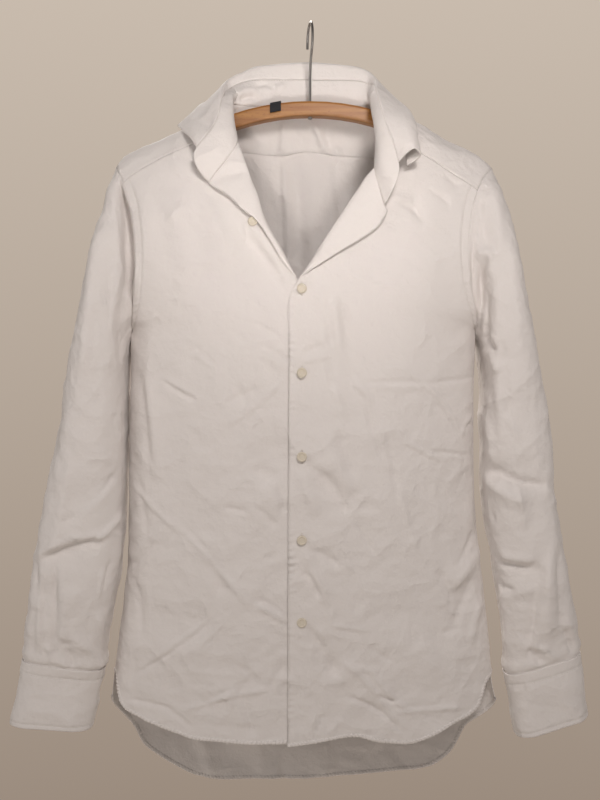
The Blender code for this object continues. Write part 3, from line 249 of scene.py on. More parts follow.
# Sleeves: the outer and inner edge of the outline and half the depth at each place.
Sleeve = namedtuple("Sleeve", "outer_x outer_z inner_x inner_z half_depth middle_y")
SLEEVES = {
    "right": [
        Sleeve(-0.2215, -0.1660, -0.2040, -0.3600, 0.052, 0.002),
        Sleeve(-0.2335, -0.2150, -0.2075, -0.3720, 0.060, 0.000),
        Sleeve(-0.2475, -0.2800, -0.2095, -0.3950, 0.064, -0.002),
        Sleeve(-0.2625, -0.3450, -0.2100, -0.4250, 0.062, -0.004),
        Sleeve(-0.2785, -0.4250, -0.2088, -0.4750, 0.058, -0.006),
        Sleeve(-0.2985, -0.5350, -0.2097, -0.5600, 0.050, -0.008),
        Sleeve(-0.3118, -0.6180, -0.2165, -0.6200, 0.044, -0.010),
        Sleeve(-0.3208, -0.6900, -0.2310, -0.6950, 0.037, -0.010),
        Sleeve(-0.3248, -0.7230, -0.2350, -0.7350, 0.029, -0.010),
    ],
    "left": [
        Sleeve(0.2087, -0.1680, 0.1890, -0.3600, 0.052, 0.002),
        Sleeve(0.2240, -0.2180, 0.1925, -0.3680, 0.060, 0.000),
        Sleeve(0.2358, -0.2800, 0.1960, -0.3880, 0.064, -0.002),
        Sleeve(0.2487, -0.3450, 0.1985, -0.4180, 0.062, -0.004),
        Sleeve(0.2628, -0.4250, 0.1955, -0.4650, 0.058, -0.006),
        Sleeve(0.2760, -0.5400, 0.1980, -0.5450, 0.050, -0.008),
        Sleeve(0.2888, -0.6200, 0.2100, -0.6290, 0.044, -0.010),
        Sleeve(0.3003, -0.6800, 0.2205, -0.6920, 0.037, -0.010),
        Sleeve(0.3043, -0.7150, 0.2220, -0.7400, 0.029, -0.010),
    ],
}
SLEEVE_ROUNDNESS = 3.0
SLEEVE_HEAD_ROWS = 1.6
FACING_FADE = (0.1, 0.6)

# Cuffs: the upper and lower rim, as the sleeve table has them.
CUFFS = {
    "right": [
        Sleeve(-0.3256, -0.7239, -0.2342, -0.7359, 0.030, -0.010),
        Sleeve(-0.3380, -0.7960, -0.2475, -0.8020, 0.029, -0.010),
    ],
    "left": [
        Sleeve(0.3050, -0.7159, 0.2213, -0.7409, 0.030, -0.010),
        Sleeve(0.3145, -0.7860, 0.2350, -0.8110, 0.029, -0.010),
    ],
}
CUFF_START_DEGREES = 285
CUFF_LAP_DEGREES = 62
CUFF_LAP_LIFT = 0.0034
CUFF_RISE_LAPS = 1.8

# The largest folds: the ends of each, half its width and how far it stands out. A height
# below zero is a trough. The sleeves' own tables are in front, and the last is behind both.
Wave = namedtuple("Wave", "from_x from_z to_x to_z half_width height")
FRONT_WAVES = [
    Wave(-0.155, -0.195, -0.125, -0.306, 0.014, 0.0040),
    Wave(-0.137, -0.232, -0.114, -0.317, 0.012, -0.0032),
    Wave(-0.118, -0.212, -0.080, -0.290, 0.014, 0.0036),
    Wave(-0.084, -0.250, -0.028, -0.314, 0.012, -0.0038),
    Wave(-0.184, -0.401, -0.173, -0.508, 0.015, 0.0026),
    Wave(-0.070, -0.508, -0.026, -0.476, 0.015, -0.0026),
    Wave(-0.056, -0.567, -0.038, -0.518, 0.018, 0.0034),
    Wave(-0.140, -0.590, -0.060, -0.660, 0.020, 0.0022),
    Wave(-0.180, -0.700, -0.110, -0.720, 0.020, 0.0026),
    Wave(0.004, -0.508, 0.042, -0.558, 0.013, -0.0034),
    Wave(0.016, -0.490, 0.052, -0.538, 0.016, 0.0026),
    Wave(0.006, -0.684, 0.030, -0.738, 0.013, -0.0032),
    Wave(0.178, -0.604, 0.156, -0.640, 0.013, 0.0034),
    Wave(0.176, -0.626, 0.152, -0.690, 0.013, -0.0028),
    Wave(0.104, -0.190, 0.116, -0.235, 0.015, -0.0026),
    Wave(0.132, -0.250, 0.104, -0.450, 0.026, 0.0030),
    Wave(0.034, -0.320, 0.050, -0.420, 0.016, -0.0024),
    Wave(0.070, -0.440, 0.094, -0.600, 0.020, 0.0024),
    Wave(0.034, -0.716, 0.084, -0.770, 0.014, 0.0026),
    Wave(0.120, -0.690, 0.150, -0.760, 0.018, 0.0026),
]
BACK_WAVES = [
    Wave(-0.030, -0.180, -0.022, -0.760, 0.016, 0.0045),
    Wave(0.030, -0.180, 0.044, -0.700, 0.016, 0.0040),
    Wave(0.006, -0.190, 0.010, -0.640, 0.016, -0.0035),
    Wave(-0.130, -0.280, -0.090, -0.420, 0.022, -0.0030),
    Wave(0.130, -0.290, 0.084, -0.440, 0.022, -0.0032),
    Wave(-0.160, -0.460, -0.080, -0.600, 0.022, 0.0034),
    Wave(0.150, -0.480, 0.090, -0.640, 0.020, 0.0032),
    Wave(-0.110, -0.700, -0.070, -0.860, 0.022, -0.0034),
    Wave(0.100, -0.700, 0.120, -0.850, 0.020, 0.0034),
]
SLEEVE_WAVES = {
    "right": [
        Wave(-0.214, -0.200, -0.203, -0.320, 0.010, -0.0060),
        Wave(-0.236, -0.230, -0.250, -0.420, 0.016, 0.0030),
        Wave(-0.204, -0.505, -0.270, -0.566, 0.014, -0.0040),
        Wave(-0.212, -0.520, -0.262, -0.572, 0.014, 0.0036),
        Wave(-0.222, -0.585, -0.296, -0.610, 0.014, -0.0034),
        Wave(-0.286, -0.620, -0.284, -0.710, 0.012, -0.0032),
        Wave(-0.262, -0.630, -0.266, -0.700, 0.014, 0.0034),
    ],
    "left": [
        Wave(0.192, -0.285, 0.193, -0.370, 0.010, -0.0060),
        Wave(0.216, -0.230, 0.232, -0.440, 0.016, 0.0030),
        Wave(0.194, -0.506, 0.262, -0.530, 0.014, -0.0048),
        Wave(0.196, -0.520, 0.240, -0.552, 0.014, 0.0040),
        Wave(0.208, -0.618, 0.252, -0.628, 0.014, -0.0036),
        Wave(0.268, -0.600, 0.264, -0.700, 0.012, 0.0036),
        Wave(0.232, -0.640, 0.236, -0.705, 0.014, -0.0030),
    ],
    "behind": [
        Wave(-0.216, -0.240, -0.256, -0.360, 0.016, 0.0040),
        Wave(-0.218, -0.470, -0.286, -0.530, 0.016, -0.0042),
        Wave(-0.226, -0.520, -0.292, -0.570, 0.016, 0.0040),
        Wave(-0.270, -0.640, -0.284, -0.705, 0.014, 0.0036),
        Wave(0.202, -0.240, 0.240, -0.370, 0.016, 0.0040),
        Wave(0.204, -0.460, 0.268, -0.510, 0.016, -0.0042),
        Wave(0.206, -0.520, 0.272, -0.575, 0.016, 0.0040),
        Wave(0.250, -0.640, 0.262, -0.700, 0.014, -0.0036),
    ],
}
WAVE_FADE = 0.25

# Thickness of the CAD cloth that the buttons lie on, the fastened buttons in a row down the
# front, and the one left open, on the right front.
CLOTH = 0.0012
BUTTON_HEIGHT = 0.0026
BUTTON_WELL = 0.72
BUTTON_X = -0.0095
FIRST_BUTTON_Z = -0.312
BUTTON_SPACING = 0.0905
FASTENED_BUTTONS = 5
BUTTON_GAP = 0.0004
OPEN_BUTTON = (-0.0625, -0.2385)

# Shells: the spacing of their grids and the thickness of their cloth.
FRONT_STEP = 0.0022
FRONT_WIDTH = 0.23
FRONT_LOWER_ROWS = 40
LAPEL_COLUMNS = 24
BACK_STEP = 0.0034
BACK_WIDTH = 0.44
BACK_UPPER_LENGTH = 0.20
BACK_LOWER_LENGTH = 0.50
SLEEVE_STEP = 0.0027
SLEEVE_GIRTH = 0.38
SLEEVE_LENGTH = 0.62
YOKE_GRID = (120, 44)
CUFF_GRID = (150, 60)
STAND_GRID = (240, 14)
LEAF_GRID = (240, 26)
SHELL = 0.0007
STIFF_SHELL = 0.0014
WELD_DISTANCE = 0.00002
FORWARD = np.array([0.0, -1.0, 0.0])
BACKWARD = np.array([0.0, 1.0, 0.0])
YOKE_OUTWARD = np.array([0.0, 0.25, 1.0])
STAND_MIDDLE = np.array([0.0, 0.02, -0.10])
LEAF_MIDDLE = np.array([0.0, 0.0, -0.10])

# The camera, and its picture in pixels, which the creases are placed by.
CAMERA = (-0.0115, -1.15, -0.4318)
LENS = 45.0
SENSOR_WIDTH = 36.0
PICTURE_SIZE = (600, 800)
FOCAL_PIXELS = PICTURE_SIZE[1] * LENS / SENSOR_WIDTH

# Creases read from the picture: ends in pixels, half width in pixels, height in millimetres
# (a trough is below zero), how far the middle bows to one side in pixels, and how much
# steeper one side is than the other.
Crease = namedtuple("Crease", "from_px from_py to_px to_py width height bow skew")
CREASE_STRENGTH = 0.0022
CREASE_POWER = 0.65
CREASE_START = (-0.12, 0.22)
CREASE_END = (0.78, 1.12)
SLEEVE_CREASE_STRENGTH = 1.15
FRONT_CREASES = {
    "right": [
        Crease(250, 224, 292, 291, 5, 1.6, 2, 0.2),
        Crease(236, 232, 287, 292, 7, -1.2, 6, 0.0),
        Crease(140, 182, 148, 262, 9, 1.4, 2, 0.0),
        Crease(262, 348, 290, 363, 3.0, -2.0, 1, 0.3),
        Crease(258, 352, 286, 369, 4.0, 1.4, 1, 0.0),
        Crease(194, 347, 218, 366, 2.2, -0.9, -1, 0.2),
        Crease(196, 352, 214, 367, 2.5, 0.6, -1, 0.0),
        Crease(163, 377, 201, 399, 2.0, 1.0, -1, 0.3),
        Crease(164, 381, 198, 401, 2.6, -0.9, -1, 0.0),
        Crease(252, 322, 288, 346, 4.0, -1.0, 1, 0.0),
        Crease(232, 330, 246, 344, 3.0, -0.8, 0, 0.0),
        Crease(228, 424, 287, 374, 3.0, 1.0, -3, 0.0),
        Crease(222, 408, 262, 388, 3.5, -0.8, 2, 0.0),
        Crease(236, 384, 246, 404, 3.0, -0.8, 0, 0.0),
        Crease(256, 470, 276, 478, 6.0, -1.4, 0, 0.0),
        Crease(276, 482, 284, 512, 3.0, -1.2, 2, 0.0),
        Crease(223, 508, 247, 512, 3.0, -1.3, 0, 0.2),
        Crease(254, 507, 276, 528, 4.0, -1.4, 2, 0.0),
        Crease(134, 486, 182, 534, 2.4, 0.9, -2, 0.3),
        Crease(178, 526, 250, 608, 2.6, 1.3, 1, 0.4),
        Crease(184, 528, 222, 572, 3.4, -1.1, 1, 0.0),
        Crease(136, 674, 214, 620, 2.4, -1.3, -2, 0.3),
        Crease(140, 668, 208, 620, 3.0, 0.9, -2, 0.0),
        Crease(128, 566, 152, 541, 4.0, -1.4, -3, 0.0),
        Crease(139, 372, 147, 460, 5.0, -1.6, 1, 0.0),
        Crease(147, 372, 158, 480, 5.0, 1.6, 1, 0.0),
        Crease(136, 470, 146, 540, 4.0, -1.0, 2, 0.0),
        Crease(134, 572, 142, 640, 4.0, -1.0, 2, 0.0),
        Crease(256, 600, 284, 618, 3.0, -1.5, 2, 0.2),
        Crease(258, 606, 288, 622, 3.0, 1.6, 1, 0.0),
        Crease(128, 700, 172, 709, 2.2, -1.2, 1, 0.0),
        Crease(186, 709, 238, 690, 2.2, 1.2, -2, 0.2),
        Crease(206, 700, 272, 688, 2.2, 1.0, -1, 0.2),
        Crease(200, 705, 232, 690, 3.0, -1.0, 0, 0.0),
        Crease(238, 664, 262, 690, 2.4, -1.0, 2, 0.0),
        Crease(243, 692, 252, 736, 3.0, -1.4, -1, 0.3),
        Crease(166, 708, 192, 728, 2.4, -0.8, 1, 0.0),
        Crease(234, 700, 250, 680, 4.0, -1.0, 1, 0.0),
        Crease(270, 690, 284, 664, 3.0, -1.0, 1, 0.0),
        Crease(205, 560, 224, 600, 7.0, -1.4, 2, 0.0),
        Crease(180, 660, 204, 640, 3.0, 0.7, 1, 0.0),
    ],
    "left": [
        Crease(326, 300, 333, 350, 4.0, -1.3, -2, 0.2),
        Crease(343, 300, 350, 342, 4.0, -1.3, -2, 0.2),
        Crease(334, 296, 342, 352, 4.0, 1.2, -2, 0.0),
        Crease(304, 354, 322, 344, 3.0, -1.2, 0, 0.0),
        Crease(304, 362, 330, 356, 3.0, 1.2, 1, 0.0),
        Crease(326, 352, 334, 392, 2.6, -1.2, -1, 0.3),
        Crease(332, 386, 346, 420, 2.6, 1.2, 1, 0.2),
        Crease(352, 382, 372, 402, 2.4, 1.0, 1, 0.2),
        Crease(366, 400, 384, 462, 3.0, -1.4, -3, 0.4),
        Crease(362, 384, 426, 383, 2.2, -0.7, 1, 0.2),
        Crease(424, 384, 474, 377, 2.2, -0.5, -1, 0.2),
        Crease(366, 388, 424, 388, 3.0, 0.4, 1, 0.0),
        Crease(426, 384, 462, 438, 2.4, 1.3, 2, 0.4),
        Crease(436, 404, 462, 440, 3.0, -1.1, 2, 0.0),
        Crease(460, 438, 472, 414, 2.2, 0.8, 1, 0.2),
        Crease(462, 428, 472, 424, 3.0, -0.5, 0, 0.0),
        Crease(404, 440, 440, 460, 2.2, 1.1, -1, 0.2),
        Crease(424, 452, 468, 456, 2.0, -1.0, 1, 0.2),
        Crease(340, 430, 352, 478, 6.0, -1.4, 0, 0.0),
        Crease(306, 464, 346, 512, 4.5, -1.5, 5, 0.2),
        Crease(326, 452, 352, 492, 6.0, 0.8, 3, 0.0),
        Crease(298, 470, 316, 516, 5.0, 1.6, 2, 0.0),
        Crease(304, 552, 326, 602, 4.0, 2.4, 1, 0.2),
        Crease(303, 572, 320, 598, 3.5, -1.8, 2, 0.0),
        Crease(312, 550, 338, 566, 4.0, -1.6, 2, 0.0),
        Crease(306, 628, 332, 678, 4.5, -1.5, 5, 0.2),
        Crease(318, 628, 330, 660, 5.0, 1.2, 2, 0.0),
        Crease(356, 520, 376, 556, 2.4, -1.1, -1, 0.2),
        Crease(398, 486, 420, 556, 3.0, 1.1, -2, 0.2),
        Crease(386, 430, 398, 500, 3.4, -1.0, 1, 0.0),
        Crease(476, 524, 458, 566, 3.0, -1.3, 2, 0.0),
        Crease(479, 548, 454, 584, 4.0, 1.2, 2, 0.3),
        Crease(476, 574, 454, 626, 3.6, -1.2, -2, 0.2),
        Crease(481, 598, 470, 642, 4.0, 1.8, 0, 0.0),
        Crease(438, 570, 452, 600, 4.0, -1.2, 1, 0.0),
        Crease(444, 634, 460, 628, 3.0, -1.2, 0, 0.0),
        Crease(340, 660, 384, 706, 2.8, 1.3, 3, 0.3),
        Crease(346, 697, 382, 714, 2.2, -1.9, 1, 0.3),
        Crease(378, 712, 402, 732, 2.2, -1.2, 1, 0.2),
        Crease(372, 672, 412, 714, 2.6, 1.6, -3, 0.3),
        Crease(376, 696, 400, 700, 2.2, -1.3, -2, 0.0),
        Crease(396, 713, 464, 708, 2.2, 1.1, 1, 0.2),
        Crease(398, 709, 440, 706, 2.6, -0.9, 0, 0.0),
        Crease(382, 700, 396, 724, 2.2, 1.0, 0, 0.2),
        Crease(314, 734, 326, 714, 2.2, -1.2, 1, 0.0),
        Crease(328, 736, 342, 720, 2.2, 1.2, 1, 0.0),
        Crease(352, 668, 376, 672, 3.0, 0.9, 1, 0.0),
        Crease(372, 650, 392, 662, 2.4, -0.8, 0, 0.0),
        Crease(330, 624, 372, 630, 2.0, 0.8, -1, 0.0),
        Crease(404, 170, 416, 216, 5.0, -0.5, 4, 0.0),
        Crease(400, 202, 424, 222, 4.0, -1.4, 4, 0.0),
        Crease(428, 188, 450, 204, 2.2, -0.8, 1, 0.0),
        Crease(446, 172, 458, 188, 5.0, -1.2, 1, 0.0),
    ],
}
UNDER_BAND_PX = (283, 290)
BACK_INSIDE_CREASES = [
    Crease(282, 150, 291, 330, 3.0, 3.6, 0, 0.7),
    Crease(297, 160, 303, 340, 7.0, -2.6, 0, 0.0),
    Crease(332, 158, 346, 300, 5.0, 1.6, 2, 0.5),
    Crease(358, 156, 360, 250, 8.0, -1.6, 2, 0.0),
    Crease(312, 176, 318, 300, 8.0, 1.0, 0, 0.0),
    Crease(255, 160, 268, 250, 7.0, 1.2, 2, 0.0),
    Crease(200, 730, 214, 778, 6.0, 1.6, 0, 0.0),
    Crease(320, 740, 326, 776, 10.0, 1.6, 0, 0.0),
    Crease(392, 730, 400, 772, 8.0, -1.6, 0, 0.0),
]
BACK_OUTSIDE_CREASES = [
    Crease(240, 180, 222, 420, 9, 2.2, 4, 0.2),
    Crease(360, 180, 380, 400, 9, 2.0, -4, 0.2),
    Crease(160, 240, 196, 300, 6, -1.6, 3, 0.2),
    Crease(450, 250, 410, 330, 6, -1.8, 3, 0.2),
    Crease(150, 430, 230, 500, 4, 1.6, 3, 0.3),
    Crease(470, 440, 380, 520, 4, -1.6, -4, 0.3),
    Crease(200, 560, 330, 620, 3, 1.2, 4, 0.3),
    Crease(420, 560, 330, 660, 3, 1.3, -4, 0.3),
    Crease(150, 640, 250, 700, 4, -1.5, 3, 0.2),
    Crease(440, 660, 360, 730, 4, 1.4, 3, 0.2),
    Crease(290, 480, 300, 640, 7, 1.8, 2, 0.2),
    Crease(240, 690, 262, 770, 5, -1.6, 2, 0.2),
]
YOKE_CREASES = [
    Crease(312, 122, 324, 150, 3.0, 2.4, 1, 0.3),
    Crease(322, 128, 330, 148, 3.0, -1.6, 0, 0.2),
    Crease(282, 120, 281, 156, 3.5, 1.6, 0, 0.5),
    Crease(250, 128, 262, 148, 4.0, 1.2, 2, 0.0),
]
SLEEVE_CREASES = {
    "right": [
        Crease(120, 176, 131, 300, 4.5, -5.0, 2, 0.2),
        Crease(112, 186, 118, 300, 5.0, 2.4, 1, 0.0),
        Crease(119, 262, 112, 326, 3.0, 2.0, -1, 0.3),
        Crease(124, 290, 134, 340, 4.0, 2.0, 2, 0.0),
        Crease(100, 296, 116, 296, 3.0, -1.0, 0, 0.0),
        Crease(95, 210, 80, 380, 6.0, 1.2, 2, 0.0),
        Crease(124, 463, 62, 522, 4.0, -2.4, 5, 0.4),
        Crease(122, 470, 70, 518, 5.0, 2.2, 5, 0.0),
        Crease(124, 510, 94, 542, 3.0, 1.8, 2, 0.3),
        Crease(104, 540, 40, 560, 4.0, -2.0, -4, 0.4),
        Crease(104, 534, 36, 556, 4.0, 1.8, -4, 0.0),
        Crease(54, 560, 54, 664, 3.0, -2.2, 1, 0.3),
        Crease(61, 566, 62, 650, 5.0, 1.8, 1, 0.0),
        Crease(34, 560, 44, 620, 5.0, -1.4, 1, 0.0),
        Crease(40, 560, 38, 650, 3.0, 1.2, 1, 0.0),
        Crease(104, 566, 100, 640, 3.0, 1.6, -3, 0.2),
        Crease(112, 560, 98, 620, 3.0, -1.4, -3, 0.0),
        Crease(60, 640, 72, 668, 4.0, -2.4, 2, 0.2),
        Crease(46, 646, 56, 664, 2.4, 1.4, 0, 0.0),
        Crease(72, 636, 98, 660, 5.0, 1.6, 2, 0.0),
        Crease(68, 470, 50, 560, 6.0, 1.2, 2, 0.0),
        Crease(60, 400, 48, 470, 6.0, -1.0, 1, 0.0),
    ],
    "left": [
        Crease(476, 254, 494, 256, 4.0, 3.0, 2, 0.4),
        Crease(482, 262, 484, 344, 4.0, -5.0, 1, 0.2),
        Crease(476, 200, 486, 248, 5.0, -2.6, 2, 0.2),
        Crease(492, 186, 500, 250, 6.0, 2.2, 2, 0.0),
        Crease(496, 262, 500, 420, 7.0, 1.8, 1, 0.0),
        Crease(482, 336, 496, 352, 3.0, -2.2, 0, 0.3),
        Crease(486, 350, 500, 372, 4.0, 1.8, 1, 0.0),
        Crease(500, 330, 508, 420, 4.0, -0.9, 1, 0.0),
        Crease(482, 468, 548, 486, 5.0, -3.6, -3, 0.4),
        Crease(478, 474, 520, 500, 5.0, 3.2, -2, 0.0),
        Crease(506, 470, 546, 480, 4.0, 1.4, -2, 0.0),
        Crease(516, 480, 524, 530, 3.0, 1.4, 1, 0.2),
        Crease(496, 562, 534, 570, 4.0, -2.4, -2, 0.3),
        Crease(500, 556, 536, 560, 4.0, 1.4, -2, 0.0),
        Crease(496, 580, 514, 592, 3.0, -2.0, -2, 0.2),
        Crease(504, 588, 506, 660, 4.0, 2.0, -1, 0.2),
        Crease(536, 560, 530, 640, 5.0, -1.4, 3, 0.0),
        Crease(552, 548, 546, 660, 5.0, 2.4, -3, 0.2),
        Crease(560, 548, 562, 640, 4.0, -1.4, 0, 0.0),
        Crease(528, 650, 542, 664, 4.0, -2.6, 0, 0.3),
        Crease(536, 646, 556, 658, 3.0, 1.8, 1, 0.0),
        Crease(566, 630, 572, 652, 3.0, -1.6, 0, 0.0),
        Crease(540, 600, 533, 654, 3.0, 1.4, 1, 0.2),
        Crease(486, 420, 492, 462, 4.0, 1.6, 2, 0.0),
        Crease(504, 416, 520, 440, 3.0, 0.9, 1, 0.0),
        Crease(545, 380, 556, 470, 4.0, 1.0, 0, 0.0),
    ],
    "behind": [
        Crease(486, 220, 520, 320, 6, 2.0, 3, 0.2),
        Crease(484, 330, 530, 420, 6, -2.2, -4, 0.2),
        Crease(490, 430, 548, 470, 5, 2.6, 3, 0.3),
        Crease(494, 470, 560, 520, 5, -2.2, 3, 0.2),
        Crease(500, 540, 566, 570, 4, 2.0, -3, 0.2),
        Crease(508, 590, 540, 668, 4, -2.2, 2, 0.2),
        Crease(530, 590, 560, 660, 4, 2.2, 2, 0.2),
        Crease(120, 220, 96, 330, 6, 2.0, 3, 0.2),
        Crease(122, 330, 76, 430, 6, -2.2, -4, 0.2),
        Crease(124, 430, 58, 480, 5, 2.4, 3, 0.3),
        Crease(118, 480, 48, 530, 5, -2.2, 3, 0.2),
        Crease(112, 550, 40, 580, 4, 2.0, -3, 0.2),
        Crease(96, 600, 74, 668, 4, -2.2, 2, 0.2),
        Crease(70, 600, 48, 660, 4, 2.2, 2, 0.2),
    ],
}
STAND_CREASES = [
    Crease(237, 96, 257, 92, 2.6, 2.4, 2, 0.3),
    Crease(240, 100, 258, 98, 2.6, -2.0, 2, 0.0),
    Crease(262, 88, 286, 86, 4.0, 1.6, -2, 0.0),
    Crease(256, 84, 276, 90, 3.0, -1.4, 1, 0.0),
]
LEAF_CREASES = [
    Crease(197, 147, 209, 152, 1.6, -1.6, 0, 0.2),
    Crease(222, 92, 232, 146, 4.0, 1.2, 1, 0.0),
    Crease(200, 118, 216, 134, 5.0, -1.0, 1, 0.0),
]

# Where a sleeve's front folds over the strip beside the body: the fold's line in pixels
# and how far the cloth behind it lies back, in millimetres.
Tuck = namedtuple("Tuck", "py px depth")
TUCKS = {
    "right": [
        Tuck(168, 118, 0.0),
        Tuck(184, 120, 8.0),
        Tuck(220, 122, 12.0),
        Tuck(260, 121, 13.0),
        Tuck(290, 118, 13.0),
        Tuck(322, 113, 13.0),
        Tuck(350, 116, 12.0),
        Tuck(380, 120, 9.0),
        Tuck(402, 124, 5.0),
        Tuck(430, 127, 0.0),
    ],
    "left": [
        Tuck(196, 479, 0.0),
        Tuck(225, 476, 3.0),
        Tuck(246, 476, 4.0),
        Tuck(262, 487, 8.0),
        Tuck(300, 485, 9.0),
        Tuck(335, 482, 8.0),
        Tuck(352, 484, 5.0),
        Tuck(372, 487, 0.0),
    ],
}
TUCK_EDGE = 1.6
MILLIMETRE = 0.001
TUCK_START_ROWS = 4

# Crumple: the size of its facets, its height and what it adds to a piece's seed.
Crumple = namedtuple("Crumple", "cell height seed")
CRUMPLES = [
    Crumple(0.060, 0.0018, 0),
    Crumple(0.024, 0.0015, 20),
    Crumple(0.011, 0.00045, 40),
]
BROAD_SWELL = Crumple(0.110, 0.0018, 90)
LAPEL_CRUMPLE = Crumple(0.035, 0.0005, 31)
CUFF_CRUMPLES = [Crumple(0.040, 0.0018, 67), Crumple(0.014, 0.0004, 66)]
CUFF_SWELL = Crumple(0.050, 0.0016, 68)
STAND_CRUMPLE = Crumple(0.030, 0.0006, 73)
LEAF_CRUMPLE = Crumple(0.035, 0.0007, 79)
UPPER_CRUMPLE = 0.32
MORE_BELOW = 0.58
CRUMPLE_LEVELS = (0.34, 0.74)
CRUMPLE_SEED = {"front": 11, "back": 61, "yoke": 71, "sleeve": 83}
YOKE_CRUMPLE = 0.8
SLEEVE_CRUMPLE = 0.85
LATTICE = 24
LATTICE_OFFSET = 100.0
BEND_REACH = 0.5
BEND_CELL = 1.3
LARGE_FACET_HEIGHT = 1.4
SMALL_FACET_CELL = 0.55
SMALL_FACET_HEIGHT = 0.5
FACET_LEVEL = 0.45
LARGE_FACET_EDGE = 0.002
SMALL_FACET_EDGE = 0.003

# Rows and distances over which creases and crumple die out towards an edge.
FADE_ROWS = {"front": 5, "back": 2, "yoke": 3, "sleeve": 5, "cuff": 10, "stand": 2, "leaf": 3}
SIDE_FADE = 0.012
FOLD_FADE = 0.016
LAPEL_FADE = 0.010
HOLD_ROWS = 6
BEFORE_FADE = (-0.1, 0.35)

# Gathers above a cuff, and the rings of the sleeve that lie inside it.
GATHER_REACH = 0.022
GATHERS = Crumple(0.0085, 0.0017, 91)
GATHER_STRETCH = np.array([1.0, 1.0, 0.22])
GATHER_FADE = 0.004
GATHER_SWELL = 0.0024
SWELL_REACH = 0.007
TUCKED_RINGS = ((0.0, 0.972), (0.06, 0.950))

# Puckers beside a sewn edge: the edge, how high and how far apart they are, how far they
# reach, their seed and where they are highest.
Pucker = namedtuple("Pucker", "edge height pitch reach seed start")
ARMHOLE_PUCKER = Pucker("last", 0.00020, 0.0080, 0.0060, 41, 0.004)
BAND_PUCKER = Pucker("first", 0.00050, 0.0080, 0.0055, 43, 0.002)
BACK_PUCKER = Pucker("top", 0.00012, 0.0075, 0.0060, 47, 0.0)
YOKE_PUCKER = Pucker("bottom", 0.00012, 0.0075, 0.0060, 53, 0.0)
SLEEVE_HEAD_PUCKER = Pucker("top", 0.00022, 0.0085, 0.0100, 57, 0.0)
SLEEVE_END_PUCKER = Pucker("bottom", 0.00035, 0.0090, 0.0080, 59, 0.0)
CUFF_PUCKER = Pucker("top", 0.00016, 0.0080, 0.0060, 69, 0.012)
BAND_REACH = 0.06
WOBBLE_CELL = 0.03
WOBBLE_TURN = 2.2
UNEVEN_CELL = 0.022
UNEVEN_LEVEL = 0.45
UNEVEN_RANGE = 1.1
UNEVEN_MOST = 1.3

# Grooves that stitching pulls in, and rows of stitches: how far each is from its edge. A
# front's armhole stitches end at a share of its rows, and its grooves fade between two.
GROOVE_HALF_WIDTH = 0.0016
ARMHOLE_GROOVE = 0.0085
CUFF_GROOVES = {"top": 0.0115, "bottom": 0.0048}
ARMHOLE_STITCHES = 0.0090
ARMHOLE_ROWS = 0.34
ARMHOLE_END = (0.35, 0.42)
BAND_STITCHES = 0.0016
YOKE_STITCHES = 0.0018
CUFF_STITCHES = {"top": 0.0125, "bottom": 0.0050}
STAND_STITCHES = 0.0015
STITCH_PITCH = 0.0032
STITCH_LENGTH = 0.0023
STITCH_TAPER = 0.15
STITCH_SINK = 0.6
THREAD_RADIUS = 0.00022

# Rolled hem with slanted rope-like puckers, whose spacing wobbles.
HEM_STEP = 0.0008
HEM_INSET = 0.0020
HEM_SIDES = 10
HEM_HALF_HEIGHT = 0.0023
HEM_HALF_THICKNESS = 0.0011
ROPE_PITCH = 0.0042
ROPE_SLANT = 2.0
ROPE_THICKNESS = 0.50
ROPE_HEIGHT = 0.05
ROPE_WOBBLE = Crumple(0.018, 1.6, 5)

# Buttonholes, and the thread through the holes of each button.
BUTTONHOLE_HALF = 0.0072
BUTTONHOLE_PITCH = 0.0007
BUTTONHOLE_SLIT = 0.0002
BUTTONHOLE_STITCH = 0.0010
BUTTONHOLE_END = 0.0013
BUTTONHOLE_END_THREAD = 1.4
HOLE_SPACING = 0.0011
BUTTON_THREAD = 1.5
THREAD_LIFT = 0.4
SLOPE_NUDGE = 0.004

# Names of the values at each point of a shell that the cotton reads.
MARKS = ("seam", "pucker", "phase")

# Materials
COTTON_COLOR = (0.80, 0.765, 0.745)
COTTON_ROUGHNESS = 0.88
COTTON_SHEEN = 0.12
WRINKLES = {"Scale": 95.0, "Detail": 4.0, "Roughness": 0.55}
WRINKLE_DEPTH = 0.0015
WEAVE = {"Scale": 520.0, "Detail": 3.0}
WEAVE_DEPTH = 0.00021
SHARP_CREASES = {
    "Scale": 17.0,
    "Detail": 3.0,
    "Roughness": 0.45,
    "Offset": 0.9,
    "Gain": 1.4,
    "Distortion": 0.35,
}
SHARP_CREASE_DEPTH = 0.0018
SEAM_DEPTH = 0.0007
WOOD_COLOR = (0.46, 0.235, 0.095)
WOOD_ROUGHNESS = 0.42
WOOD_STOPS = ((0.32, (0.285, 0.108, 0.022)), (0.68, (0.425, 0.200, 0.048)))
FLECK_STOPS = ((0.66, (1.0, 1.0, 1.0)), (0.74, (0.62, 0.52, 0.45)))
GRAIN = {"Scale": 1.0, "Detail": 6.0}
FLECKS = {"Scale": 1.0, "Detail": 1.0}
GRAIN_STRETCH = (9.0, 150.0, 190.0)
FLECK_STRETCH = (160.0, 900.0, 1100.0)
GRAIN_DEPTH = 0.0001

# Plain finishes with a fine unevenness of the given scale and depth.
Finish = namedtuple("Finish", "name color roughness metallic scale depth")
BUTTON_FINISH = Finish("ivory_button", (0.72, 0.66, 0.55), 0.22, 0.0, 300.0, 0.00003)
LABEL_FINISH = Finish("label_cloth", (0.012, 0.012, 0.016), 0.75, 0.0, 1800.0, 0.0002)
STEEL_FINISH = Finish("hook_steel", (0.38, 0.37, 0.36), 0.38, 1.0, 500.0, 0.00002)
THREAD_FINISH = Finish("thread", (0.72, 0.68, 0.63), 0.7, 0.0, 900.0, 0.0001)

